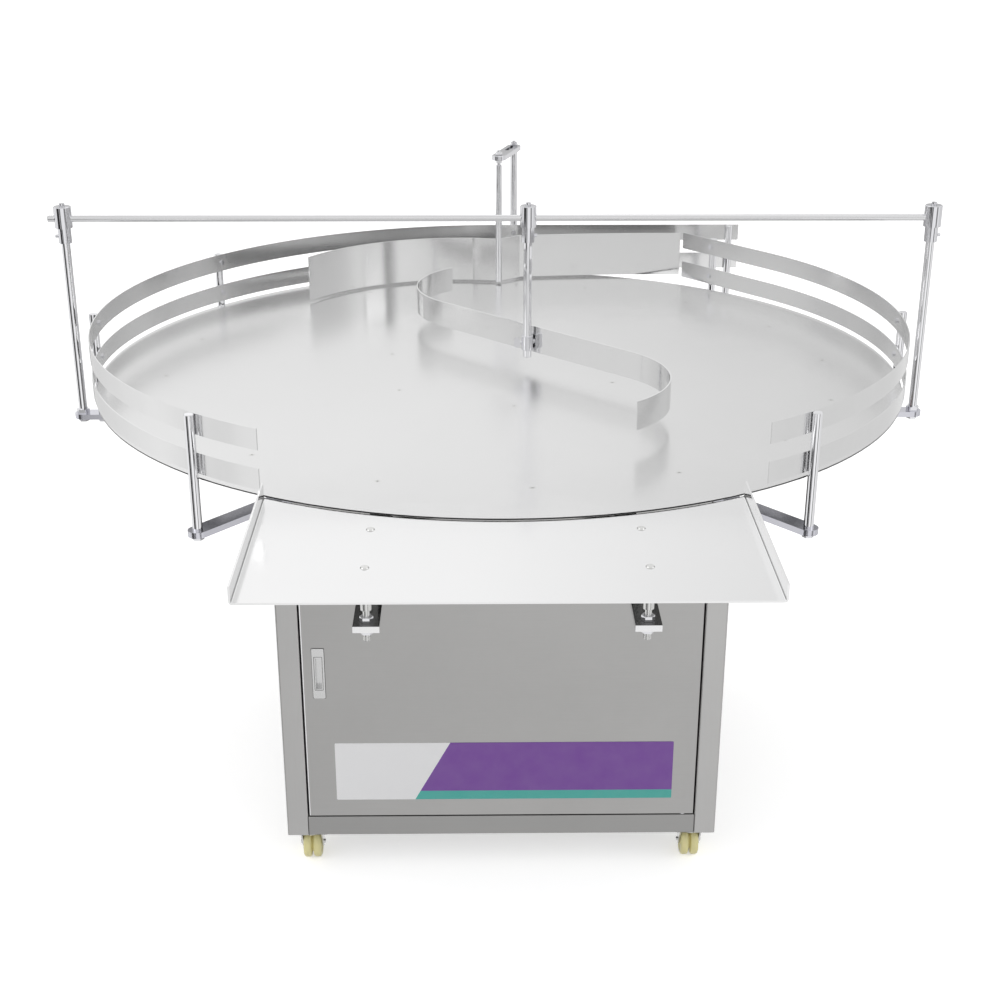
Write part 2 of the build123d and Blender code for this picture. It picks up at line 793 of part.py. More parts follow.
with BuildPart() as rail_posts:
    with BuildSketch(Plane.XY.offset(top_level)):
        with Locations(*[place for place, angle in short_posts]):
            Circle(post_radius)
    extrude(amount=post_top + arm_drop)
    chamfer(rail_posts.edges().group_by(Axis.Z)[-1], edge_break)
    with BuildSketch(Plane.XY.offset(top_level)):
        with Locations(*[place for place, angle in short_posts]):
            Circle(bolt_radius)
    extrude(amount=bolt_grip, mode=Mode.SUBTRACT)
    for place, angle in short_posts:
        for level in rail_levels:
            with BuildSketch(upright_plane(place, angle, level + rail_height / 2)):
                Circle(rail_screw_radius)
            extrude(amount=-post_radius, mode=Mode.SUBTRACT)
save(rail_posts, "rail_posts")

rear_stud_top = link_bottom + link_thickness + 2 * sliding_clearance + small_nut_height + stud_end
with BuildPart() as tall_posts_part:
    with BuildSketch(Plane.XY.offset(top_level)):
        with Locations(*tall_posts):
            Circle(post_radius)
    extrude(amount=tall_post_top + arm_drop)
    with BuildSketch(Plane.XY.offset(top_level)):
        with Locations(rear_post):
            Circle(post_radius)
    extrude(amount=link_bottom - sliding_clearance + arm_drop)
    with BuildSketch(Plane.XY.offset(link_bottom - sliding_clearance)):
        with Locations(rear_post):
            Circle(stud_radius)
    extrude(amount=rear_stud_top - link_bottom + sliding_clearance)
    with BuildSketch(Plane.XY.offset(top_level)):
        with Locations(rear_post, *tall_posts):
            Circle(bolt_radius)
    extrude(amount=bolt_grip, mode=Mode.SUBTRACT)
    for level in rail_levels:
        with BuildSketch(upright_plane(rear_post, 90.0, level + rail_height / 2)):
            Circle(rail_screw_radius)
        extrude(amount=-post_radius, mode=Mode.SUBTRACT)
save(tall_posts_part, "tall_posts")


def side_rail(bottom, first_angle, last_angle, straight_start, straight_end):
    """Rail strip: an arc about the table, then a straight run, with screw holes."""
    with BuildPart() as rail:
        with BuildSketch(Plane.XY.offset(bottom)):
            with BuildLine():
                CenterArc((0, 0), rail_radius, first_angle, last_angle - first_angle)
                Line(straight_start, straight_end)
            trace(line_width=rail_thickness)
        extrude(amount=rail_height)
        for place, angle in rail_screw_places:
            hole_plane = upright_plane(place, angle, bottom + rail_height / 2)
            with BuildSketch(hole_plane.offset(-post_radius)):
                Circle(rail_screw_radius)
            extrude(amount=-2 * rail_thickness, mode=Mode.SUBTRACT)
    return rail


for rail_name, bottom in (("lower", lower_rail_bottom), ("upper", upper_rail_bottom)):
    outer = side_rail(
        bottom, 90, outer_rail_front_angle, (0, exit_rail_y), (exit_rail_end, exit_rail_y)
    )
    save(outer, "outer_rail_" + rail_name)
    inner = side_rail(
        bottom, inner_rail_front_angle - 360, inner_rail_tangent_angle, inner_tangent, inner_rail_end
    )
    save(inner, "inner_rail_" + rail_name)

with BuildPart() as rail_screws:
    for place, angle in rail_screw_places:
        for level in rail_levels:
            seat = upright_plane(place, angle, level + rail_height / 2)
            seat = seat.offset(-post_radius - rail_thickness - 2 * seat_allowance)
            with BuildSketch(seat):
                Circle(rail_screw_head_radius)
            extrude(amount=-rail_screw_head_height)
            with BuildSketch(seat):
                Circle(rail_screw_radius)
            extrude(amount=rail_thickness + rail_screw_depth)
save(rail_screws, "rail_screws")


with BuildPart() as bolts_and_nuts:
    # Bolts up into the feet of the posts
    with BuildSketch(Plane.XY.offset(bar_level)):
        with Locations(*post_centres):
            hexagon(nut_across_flats)
    extrude(amount=-bolt_head_height)
    with BuildSketch(Plane.XY.offset(bar_level)):
        with Locations(*post_centres):
            Circle(bolt_radius)
    extrude(amount=arm_thickness + bolt_grip - bolt_end_gap)
    # Bolts down through the bars and the top plate
    with BuildSketch(Plane.XY.offset(top_level)):
        with Locations(*arm_bolt_places, *bracket_bolt_places):
            hexagon(nut_across_flats)
    extrude(amount=bolt_head_height)
    with BuildSketch(Plane.XY.offset(top_level)):
        with Locations(*arm_bolt_places, *bracket_bolt_places):
            Circle(bolt_radius)
    extrude(amount=-arm_thickness)
    # Nuts at the feet of the two tall side posts
    with BuildSketch(Plane.XY.offset(top_level)):
        with Locations(*tall_posts):
            hexagon(tall_nut_across_flats)
            Circle(post_radius, mode=Mode.SUBTRACT)
    extrude(amount=nut_height)
    # Bearing bolts
    with BuildSketch(Plane.XY.offset(bar_level + bearing_flange_thickness)):
        with GridLocations(bearing_bolt_spacing, bearing_bolt_spacing, 2, 2):
            hexagon(nut_across_flats)
    extrude(amount=bolt_head_height)
    with BuildSketch(Plane.XY.offset(bar_level)):
        with GridLocations(bearing_bolt_spacing, bearing_bolt_spacing, 2, 2):
            Circle(bolt_radius)
    extrude(amount=bearing_flange_thickness)
    # Nuts above and below the tray brackets
    for level, height in ((top_level + sliding_clearance, nut_height), (bar_level, -nut_height)):
        with BuildSketch(Plane.XY.offset(level)):
            with Locations(*tray_stud_places):
                hexagon(nut_across_flats)
                Circle(tray_stud_radius + sliding_clearance, mode=Mode.SUBTRACT)
        extrude(amount=height)
    # Nut on the rear post's stud, over the slotted link
    with BuildSketch(Plane.XY.offset(link_bottom + link_thickness + sliding_clearance)):
        with Locations(rear_post):
            hexagon(small_nut_across_flats)
            Circle(stud_radius, mode=Mode.SUBTRACT)
    extrude(amount=small_nut_height)
save(bolts_and_nuts, "bolts_and_nuts")

# Cross bar, its two heads and their screws
with BuildPart() as cross_bar:
    with BuildSketch(Plane.YZ.offset(-bar_left_end)):
        with Locations((0, bar_height)):
            Circle(bar_radius)
    extrude(amount=bar_left_end + tall_post_x + bar_right_reach)
    chamfer(cross_bar.edges().filter_by(GeomType.CIRCLE), edge_break)
save(cross_bar, "cross_bar")


def bar_head(centre, radius, bar_hole, rod_hole, pin_side):
    """Turned head: a bored body, a thinner sleeve, a cap screw and a side screw."""
    with BuildPart() as head:
        with BuildSketch(Plane.XY.offset(head_bottom)):
            with Locations(centre):
                Circle(radius)
        extrude(amount=head_top - head_bottom)
        chamfer(head.edges().group_by(Axis.Z)[-1], head_edge)
        with BuildSketch(Plane.XY.offset(sleeve_bottom)):
            with Locations(centre):
                Circle(sleeve_radius)
        extrude(amount=head_bottom - sleeve_bottom)
        with BuildSketch(Plane.XY.offset(head_top)):
            with Locations(centre):
                Circle(cap_screw_radius)
        extrude(amount=cap_screw_height)
        with BuildSketch(Plane.YZ.offset(centre[0])):
            with Locations((centre[1], set_screw_height)):
                Circle(set_screw_radius)
        extrude(amount=pin_side * (sleeve_radius + set_screw_reach))
        with BuildSketch(Plane.YZ.offset(centre[0] - radius)):
            with Locations((centre[1], bar_height)):
                Circle(bar_hole)
        extrude(amount=2 * radius, mode=Mode.SUBTRACT)
        with BuildSketch(Plane.XY.offset(sleeve_bottom)):
            with Locations(centre):
                Circle(rod_hole)
        extrude(amount=tall_post_top - sleeve_bottom, mode=Mode.SUBTRACT)
    return head


left_head = bar_head(tall_posts[0], head_radius, bar_radius, post_radius, -1)
right_head = bar_head(tall_posts[1], head_radius, bar_radius, post_radius, 1)
with BuildPart() as post_heads:
    add(left_head.part)
    add(right_head.part)
save(post_heads, "post_heads")

guide_head = bar_head(
    (guide_rod_x, 0.0),
    guide_head_radius,
    bar_radius + sliding_clearance,
    post_radius + sliding_clearance,
    1,
)
save(guide_head, "guide_head")

# Guide rod, clamp and curved guide
rod_top = tall_post_top - sliding_clearance
with BuildPart() as guide_rod:
    with BuildSketch(Plane.XY.offset(guide_rod_bottom)):
        with Locations((guide_rod_x, 0.0)):
            Circle(post_radius)
    extrude(amount=rod_top - guide_rod_bottom)
    chamfer(guide_rod.edges().filter_by(GeomType.CIRCLE), edge_break)
save(guide_rod, "guide_rod")

guide_normal = polar(1.0, guide_angle)
guide_along = polar(1.0, guide_angle + 90)
guide_centre = (guide_rod_x + guide_offset * guide_normal[0], guide_offset * guide_normal[1])
far_bend = (
    guide_centre[0] + guide_half_run * guide_along[0] + guide_curve_radius * guide_normal[0],
    guide_centre[1] + guide_half_run * guide_along[1] + guide_curve_radius * guide_normal[1],
)
near_bend = (2 * guide_centre[0] - far_bend[0], 2 * guide_centre[1] - far_bend[1])
straight_ends = [
    (
        guide_centre[0] + side * guide_half_run * guide_along[0],
        guide_centre[1] + side * guide_half_run * guide_along[1],
    )
    for side in (-1, 1)
]
clamp_plane = upright_plane((guide_rod_x, 0.0), guide_angle, clamp_middle)

with BuildPart() as s_guide:
    with BuildSketch(Plane.XY.offset(guide_bottom)):
        with BuildLine():
            CenterArc(far_bend, guide_curve_radius, guide_angle + 180, -guide_curve_sweep)
            Line(*straight_ends)
            CenterArc(near_bend, guide_curve_radius, guide_angle, -guide_curve_sweep)
        trace(line_width=guide_thickness)
    extrude(amount=guide_height)
    with BuildSketch(clamp_plane):
        Circle(set_screw_radius)
    extrude(amount=2 * guide_offset, mode=Mode.SUBTRACT)
save(s_guide, "s_guide")

strip_near = guide_offset - guide_thickness / 2
strip_far = guide_offset + guide_thickness / 2
with BuildPart() as guide_clamp:
    with BuildSketch(Plane.XY.offset(clamp_middle - clamp_height / 2)):
        with Locations((guide_rod_x, 0.0)):
            Circle(clamp_radius)
    extrude(amount=clamp_height)
    chamfer(guide_clamp.edges().filter_by(GeomType.CIRCLE), clamp_edge)
    with BuildSketch(clamp_plane):
        Circle(2 * set_screw_radius)
    extrude(amount=strip_near)
    with BuildSketch(clamp_plane):
        Circle(set_screw_radius)
    extrude(amount=strip_far)
    with BuildSketch(clamp_plane.offset(strip_far)):
        Circle(2 * set_screw_radius)
    extrude(amount=set_screw_radius, taper=25)
    with BuildSketch(upright_plane((guide_rod_x, 0.0), 180.0, clamp_middle)):
        Circle(set_screw_radius)
    extrude(amount=clamp_radius + wing_gap)
    wing_plane = upright_plane((guide_rod_x - clamp_radius - wing_gap, 0.0), 90.0, clamp_middle)
    with BuildSketch(wing_plane.offset(-wing_thickness / 2)):
        with Locations((wing_reach / 2, 0)):
            SlotOverall(wing_span, wing_reach, rotation=90)
    extrude(amount=wing_thickness)
    with BuildSketch(Plane.XY.offset(clamp_middle - clamp_height / 2)):
        with Locations((guide_rod_x, 0.0)):
            Circle(post_radius + sliding_clearance)
    extrude(amount=clamp_height, mode=Mode.SUBTRACT)
save(guide_clamp, "guide_clamp")

# Rear deflector on a slotted link
deflector_post_place = (deflector_post_x, deflector_post_y)
link_run = math.hypot(rear_post[0] - deflector_post_x, rear_post[1] - deflector_post_y)
link_angle = math.degrees(
    math.atan2(rear_post[1] - deflector_post_y, rear_post[0] - deflector_post_x)
)
slot_end = rear_post
slot_start = along(rear_post, deflector_post_place, link_slot_length)
slot_middle = ((slot_start[0] + slot_end[0]) / 2, (slot_start[1] + slot_end[1]) / 2)

with BuildPart() as slotted_arm:
    with BuildSketch(Plane.XY.offset(link_bottom)):
        flat_bar(rear_post, deflector_post_place, link_width)
        with Locations(rear_post):
            Circle(link_width / 2)
        with Locations(Location((slot_middle[0], slot_middle[1], 0), (0, 0, link_angle))):
            SlotCenterToCenter(link_slot_length, link_slot_width, mode=Mode.SUBTRACT)
        with Locations(deflector_post_place):
            Circle(link_slot_width / 2, mode=Mode.SUBTRACT)
    extrude(amount=link_thickness)
    chamfer(slotted_arm.faces().sort_by(Axis.Z)[-1].outer_wire().edges(), edge_break)
save(slotted_arm, "slotted_arm")

deflector_stud_top = link_bottom + link_thickness + sliding_clearance + small_nut_height + stud_end
with BuildPart() as deflector_post:
    with BuildSketch(Plane.XY.offset(deflector_bottom)):
        with Locations(deflector_post_place):
            Circle(deflector_post_radius)
    extrude(amount=deflector_post_top - deflector_bottom)
    chamfer(deflector_post.edges().group_by(Axis.Z)[-1], post_edge)
    with BuildSketch(Plane.XY.offset(deflector_post_top)):
        with Locations(deflector_post_place):
            Circle(stud_radius)
    extrude(amount=deflector_stud_top - deflector_post_top)
    for level, height in (
        (link_bottom - sliding_clearance, -small_nut_height),
        (link_bottom + link_thickness + sliding_clearance, small_nut_height),
    ):
        with BuildSketch(Plane.XY.offset(level)):
            with Locations(deflector_post_place):
                hexagon(small_nut_across_flats)
        extrude(amount=height)
save(deflector_post, "deflector_post")

corner_back = deflector_post_y + deflector_post_radius + deflector_thickness / 2
corner_left = (deflector_post_x - corner_left_reach, corner_back + corner_left_rise)
corner_right = (deflector_post_x + corner_right_reach, corner_back + corner_right_rise)
corner_mid_left = (deflector_post_x - deflector_post_radius / 2, corner_back)
corner_mid_right = (deflector_post_x + deflector_post_radius / 2, corner_back)


lap_left_start, lap_left_end = shifted(
    along(corner_left, corner_mid_left, wing_lap),
    along(corner_left, corner_mid_left, -deflector_thickness),
    -deflector_thickness,
)
lap_right_start, lap_right_end = shifted(
    along(corner_right, corner_mid_right, wing_lap),
    along(corner_right, corner_mid_right, -deflector_thickness),
    deflector_thickness,
)


def deflector_wing(lap_start, lap_end, middle, end):
    """Deflector strip: a short straight lap on the corner, then a long arc."""
    with BuildPart() as wing:
        with BuildSketch(Plane.XY.offset(deflector_bottom)):
            with BuildLine():
                Line(lap_start, lap_end)
                ThreePointArc(lap_end, middle, end)
            trace(line_width=deflector_thickness)
        extrude(amount=deflector_height)
    return wing


left_wing = deflector_wing(lap_left_start, lap_left_end, left_wing_middle, left_wing_end)
save(left_wing, "deflector_wing_left")
right_wing = deflector_wing(lap_right_start, lap_right_end, right_wing_middle, right_wing_end)
save(right_wing, "deflector_wing_right")

with BuildPart() as deflector_corner:
    with BuildSketch(Plane.XY.offset(deflector_bottom)):
        with BuildLine():
            Polyline(corner_left, corner_mid_left, corner_mid_right, corner_right)
        trace(line_width=deflector_thickness)
    extrude(amount=deflector_height)
    for inner, outer in ((corner_mid_left, corner_left), (corner_mid_right, corner_right)):
        turn = math.degrees(math.atan2(outer[1] - inner[1], outer[0] - inner[0]))
        facing = turn + 90 if outer is corner_left else turn - 90
        rivet = along(outer, inner, wing_lap / 2)
        for share in rivet_shares:
            seat = upright_plane(rivet, facing, deflector_bottom + share * deflector_height)
            with BuildSketch(seat):
                Circle(rivet_radius)
            extrude(amount=deflector_thickness / 2 + rivet_height, taper=15)
save(deflector_corner, "deflector_corner")

# Feed tray on four levelling studs
tray_level = -tray_top_drop
tray_back_radius = disc_radius + tray_edge_gap
tray_outer = tray_half_width + tray_thickness
tray_underside = tray_level - tray_thickness
with BuildPart() as feed_tray:
    # Sheet folded up along both sides, then cut round the table
    with BuildSketch(Plane.XZ.offset(tray_front)) as fold:
        with BuildLine():
            Polyline(
                (-tray_outer, tray_level + tray_flange),
                (-tray_outer, tray_underside),
                (tray_outer, tray_underside),
                (tray_outer, tray_level + tray_flange),
                (tray_half_width, tray_level + tray_flange),
                (tray_half_width, tray_level),
                (-tray_half_width, tray_level),
                (-tray_half_width, tray_level + tray_flange),
                close=True,
            )
        make_face()
        fillet(fold.vertices().group_by(Axis.Y)[1], tray_bend_radius)
        fillet(fold.vertices().group_by(Axis.Y)[0], tray_bend_radius + tray_thickness)
    extrude(amount=tray_back_reach - tray_front)
    with BuildSketch(Plane.XY.offset(tray_underside)):
        Circle(tray_back_radius)
    extrude(amount=tray_thickness + tray_flange, mode=Mode.SUBTRACT)
    with BuildSketch(Plane.XY.offset(tray_underside)):
        with Locations(*tray_stud_places):
            Circle(tray_screw_radius)
    extrude(amount=tray_thickness, mode=Mode.SUBTRACT)
save(feed_tray, "feed_tray")

with BuildPart() as tray_studs:
    spacer_top = tray_level - tray_thickness
    with BuildSketch(Plane.XY.offset(-tray_spacer_bottom)):
        with Locations(*tray_stud_places):
            Circle(tray_spacer_radius)
    extrude(amount=tray_spacer_bottom + spacer_top)
    with BuildSketch(Plane.XY.offset(-tray_stud_bottom)):
        with Locations(*tray_stud_places):
            Circle(tray_stud_radius)
    extrude(amount=tray_stud_bottom - tray_spacer_bottom)
    with BuildSketch(Plane.XY.offset(spacer_top)):
        with Locations(*tray_stud_places):
            Circle(tray_screw_radius)
    extrude(amount=tray_thickness)
    with BuildSketch(Plane.XY.offset(tray_level)):
        with Locations(*tray_stud_places):
            Circle(tray_screw_head_radius)
    extrude(amount=tray_screw_head_height, taper=30)
save(tray_studs, "tray_studs")

with BuildPart() as tray_brackets:
    with BuildSketch(Plane.XY.offset(bar_level)):
        for side in (-1, 1):
            with Locations((side * tray_stud_x, -(tray_bracket_front + tray_bracket_back) / 2)):
                Rectangle(tray_bracket_width, tray_bracket_front - tray_bracket_back)
        with Locations(*tray_stud_places):
            Circle(tray_stud_radius + sliding_clearance, mode=Mode.SUBTRACT)
        with Locations(*bracket_bolt_places):
            Circle(bolt_radius, mode=Mode.SUBTRACT)
    extrude(amount=arm_thickness)
save(tray_brackets, "tray_brackets")

# Casters
caster_inset = caster_plate / 2 + caster_edge
caster_places = [
    (sx * (half_cabinet - caster_inset), sy * (half_cabinet - caster_inset))
    for sy in (-1, 1)
    for sx in (-1, 1)
]
foot_level = -cabinet_bottom_drop
race_bottom = foot_level - caster_plate_thickness - race_height
crown_top = race_bottom - sliding_clearance
crown_bottom = crown_top - crown_thickness

with BuildPart() as caster_plates:
    with BuildSketch(Plane.XY.offset(foot_level)):
        with Locations(*caster_places):
            RectangleRounded(caster_plate, caster_plate, plate_corner)
    extrude(amount=-caster_plate_thickness)
    with BuildSketch(Plane.XY.offset(foot_level - caster_plate_thickness)):
        with Locations(*caster_places):
            Circle(race_radius)
    extrude(amount=-race_height)
    with BuildSketch(Plane.XY.offset(race_bottom)):
        with Locations(*caster_places):
            Circle(kingpin_radius)
    extrude(amount=-(crown_thickness + 2 * sliding_clearance))
    with BuildSketch(Plane.XY.offset(crown_bottom - sliding_clearance)):
        with Locations(*caster_places):
            Circle(kingpin_head_radius)
    extrude(amount=-kingpin_head_height)
save(caster_plates, "caster_plates")


def caster_fork(x, y):
    """Swivel fork with its axle."""
    leg_plane = Plane(origin=(x, y, 0), x_dir=(0, 1, 0), z_dir=(1, 0, 0))
    inner = wheel_width / 2 + 2 * sliding_clearance
    with BuildPart() as fork:
        with BuildSketch(Plane.XY.offset(crown_bottom)):
            with Locations((x, y)):
                Circle(race_radius)
                Circle(kingpin_radius + sliding_clearance, mode=Mode.SUBTRACT)
        extrude(amount=crown_thickness)
        for side in (-1, 1):
            with BuildSketch(leg_plane.offset(side * (inner + fork_wall / 2))):
                with Locations((fork_trail, wheel_axis_z)):
                    Circle(fork_eye_radius)
                with Locations((0, crown_bottom + crown_thickness / 2)):
                    Rectangle(fork_shoulder, crown_thickness)
                make_hull()
            extrude(amount=fork_wall / 2, both=True)
        with BuildSketch(leg_plane.offset(-inner - 2 * fork_wall)):
            with Locations((fork_trail, wheel_axis_z)):
                Circle(axle_radius)
        extrude(amount=2 * inner + 4 * fork_wall)
    return fork


def caster_wheel(x, y):
    """Wheel with rounded shoulders and a parting groove round the tread."""
    half = wheel_width / 2
    with BuildPart() as wheel:
        with BuildSketch(Plane(origin=(x, y + fork_trail, wheel_axis_z), z_dir=(0, 1, 0), x_dir=(1, 0, 0))):
            with BuildLine():
                Polyline(
                    (-half, axle_radius + sliding_clearance),
                    (-half, wheel_radius - wheel_shoulder),
                    (-half + wheel_shoulder, wheel_radius),
                    (-wheel_groove, wheel_radius),
                    (0, wheel_radius - wheel_groove),
                    (wheel_groove, wheel_radius),
                    (half - wheel_shoulder, wheel_radius),
                    (half, wheel_radius - wheel_shoulder),
                    (half, axle_radius + sliding_clearance),
                    close=True,
                )
            make_face()
        revolve(axis=Axis((x, y + fork_trail, wheel_axis_z), (1, 0, 0)))
    return wheel


for number, (x, y) in enumerate(caster_places, start=1):
    save(caster_fork(x, y), f"caster_fork_{number}")
    save(caster_wheel(x, y), f"caster_wheel_{number}")

# Controls on the right side panel
control_faces = [
    Plane(origin=(half_cabinet, place, -control_drop), x_dir=(0, 1, 0), z_dir=(1, 0, 0))
    for place in control_places
]
with BuildPart() as control_bodies:
    for face in control_faces:
        with BuildSketch(face):
            Circle(collar_radius)
        extrude(amount=collar_height)
        with BuildSketch(face):
            Circle(control_neck_radius)
        extrude(amount=-sheet)
        with BuildSketch(face.offset(-sheet)):
            RectangleRounded(control_block, control_block, cast_edge)
        extrude(amount=-control_block_depth)
        with BuildSketch(face.offset(collar_height)):
            Circle(control_stem_radius + sliding_clearance)
        extrude(amount=-control_bore_depth, mode=Mode.SUBTRACT)
save(control_bodies, "control_bodies")

knob_face = control_faces[0].offset(collar_height + sliding_clearance)
with BuildPart() as speed_knob:
    with BuildSketch(knob_face):
        Circle(knob_radius)
        with PolarLocations(knob_radius + 1, knob_flute_count):
            Circle(knob_flute_radius, mode=Mode.SUBTRACT)
    extrude(amount=knob_height - knob_cap_height)
    with BuildSketch(knob_face.offset(knob_height - knob_cap_height)):
        Circle(knob_radius - knob_flute_radius)
    extrude(amount=knob_cap_height)
    chamfer(speed_knob.edges().group_by(Axis.X)[-1], knob_cap_height / 2)
    with BuildSketch(knob_face):
        Circle(control_stem_radius)
    extrude(amount=-control_stem_depth)
    with BuildSketch(knob_face.offset(knob_height)):
        with Locations((0, knob_radius / 2)):
            Rectangle(knob_mark_width, knob_radius / 2)
    extrude(amount=-knob_mark_depth, mode=Mode.SUBTRACT)
save(speed_knob, "speed_knob")

button_face = control_faces[1].offset(collar_height + button_travel + sliding_clearance)
with BuildPart() as emergency_stop:
    with BuildSketch(button_face):
        Circle(button_radius)
    extrude(amount=button_height)
    fillet(emergency_stop.edges().group_by(Axis.X)[-1], 5)
    with BuildSketch(button_face):
        Circle(control_stem_radius)
    extrude(amount=-(button_travel + control_stem_depth))
save(emergency_stop, "emergency_stop")

switch_face = control_faces[2].offset(collar_height + sliding_clearance)
with BuildPart() as power_switch:
    with BuildSketch(switch_face):
        Circle(switch_disc_radius)
    extrude(amount=switch_disc_height)
    with BuildSketch(switch_face.offset(switch_disc_height)):
        SlotOverall(switch_grip_length, switch_grip_width, rotation=90)
    extrude(amount=switch_grip_height)
    with BuildSketch(switch_face):
        Circle(control_stem_radius)
    extrude(amount=-control_stem_depth)
save(power_switch, "power_switch")

gland_face = Plane(origin=(gland_x, half_cabinet, -gland_drop), x_dir=(-1, 0, 0), z_dir=(0, 1, 0))
with BuildPart() as cable_gland:
    with BuildSketch(gland_face):
        hexagon(gland_across_flats)
    extrude(amount=gland_collar)
    with BuildSketch(gland_face.offset(gland_collar)):
        Circle(gland_cap_radius)
    extrude(amount=gland_cap_length)
    chamfer(cable_gland.edges().group_by(Axis.Y)[-1], cast_edge)
    with BuildSketch(gland_face):
        Circle(gland_thread_radius)
    extrude(amount=-gland_thread_length)
    with BuildSketch(gland_face.offset(-sheet)):
        hexagon(gland_across_flats)
    extrude(amount=-gland_collar)
    with BuildSketch(gland_face.offset(-gland_thread_length)):
        Circle(gland_bore_radius)
    extrude(amount=gland_thread_length + gland_collar + gland_cap_length, mode=Mode.SUBTRACT)
save(cable_gland, "cable_gland")
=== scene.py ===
"""Looks, light and camera of a rotary feeding table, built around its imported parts."""

import logging
import math
from dataclasses import dataclass
from enum import Enum
from functools import cache
from typing import Any, ClassVar, Sequence, Union

import bmesh
import bpy
from mathutils import Matrix, Vector


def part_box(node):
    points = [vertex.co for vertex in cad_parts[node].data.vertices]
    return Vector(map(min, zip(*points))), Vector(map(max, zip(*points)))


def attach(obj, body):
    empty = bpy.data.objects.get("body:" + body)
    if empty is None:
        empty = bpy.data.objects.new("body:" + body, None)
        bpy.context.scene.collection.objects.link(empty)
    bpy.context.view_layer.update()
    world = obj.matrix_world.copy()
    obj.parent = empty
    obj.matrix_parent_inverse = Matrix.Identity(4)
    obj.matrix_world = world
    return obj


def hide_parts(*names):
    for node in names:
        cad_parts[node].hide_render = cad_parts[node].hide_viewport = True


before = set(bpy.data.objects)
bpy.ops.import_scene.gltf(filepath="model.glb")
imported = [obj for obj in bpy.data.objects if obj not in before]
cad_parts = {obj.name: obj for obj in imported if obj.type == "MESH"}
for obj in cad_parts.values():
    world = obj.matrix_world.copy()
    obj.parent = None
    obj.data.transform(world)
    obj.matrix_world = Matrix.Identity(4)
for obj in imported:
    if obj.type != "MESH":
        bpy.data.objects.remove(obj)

log = logging.getLogger("feeding_table")
MM = 0.001
Colour = tuple[float, float, float]
Place = tuple[float, float, float]
Pairs = Sequence[tuple[float, float]]
Number = Union[float, "Value"]
Socket = bpy.types.NodeSocket
BMesh = bmesh.types.BMesh
Settings = dict[str, Any]
Inputs = dict[Union[int, str], Any]
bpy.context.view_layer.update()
NOISE_MIDDLE = 0.5
CORNER_STEPS = 6
CASTER_NUMBERS = range(1, 5)


class Value:
    """A number socket that takes part in sums; each operator adds one Math node."""

    def __init__(self, shader: "Shader", socket: Socket) -> None:
        """Wrap a socket.

        Args:
            shader: The node tree that it belongs to.
            socket: The output that carries the number.
        """
        self.shader = shader
        self.socket = socket

    def _math(self, operation: str, first: Number, second: Number = 0.0) -> "Value":
        """Add one Math node.

        Args:
            operation: The node's operation.
            first: The first number.
            second: The second number, where the operation has one.

        Returns:
            The node's result.
        """
        return self.shader.value(
            "ShaderNodeMath", {"operation": operation}, {0: first, 1: second}
        )

    def __add__(self, other: Number) -> "Value":
        """Return the sum."""
        return self._math("ADD", self, other)

    __radd__ = __add__

    def __sub__(self, other: Number) -> "Value":
        """Return the difference."""
        return self._math("SUBTRACT", self, other)

    def __rsub__(self, other: Number) -> "Value":
        """Return the reflected difference."""
        return self._math("SUBTRACT", other, self)

    def __mul__(self, other: Number) -> "Value":
        """Return the product."""
        return self._math("MULTIPLY", self, other)

    __rmul__ = __mul__

    def __truediv__(self, other: Number) -> "Value":
        """Return the quotient."""
        return self._math("DIVIDE", self, other)

    def __gt__(self, other: Number) -> "Value":
        """Return 1 where this is the larger, else 0."""
        return self._math("GREATER_THAN", self, other)

    def __lt__(self, other: Number) -> "Value":
        """Return 1 where this is the smaller, else 0."""
        return self._math("LESS_THAN", self, other)

    def larger(self, other: Number) -> "Value":
        """Return the larger of the two."""
        return self._math("MAXIMUM", self, other)

    def between(self, low: float, high: float) -> "Value":
        """Measure how far this has come from one number to another.

        Args:
            low: Where the measure is 0.
            high: Where it is 1.

        Returns:
            The share of the way, held between 0 and 1.
        """
        return self.shader.value(
            "ShaderNodeMapRange", None, {"Value": self, "From Min": low, "From Max": high}
        )

    def compass(self, across: "Value") -> "Value":
        """Return the turn round the vertical as 0 to 1, with this as depth.

        Args:
            across: The direction's part along +X.

        Returns:
            0 and 1 at -X, 0.25 at -Y, 0.5 at +X and 0.75 at +Y.
        """
        return self._math("ARCTAN2", self, across) / math.tau + 0.5


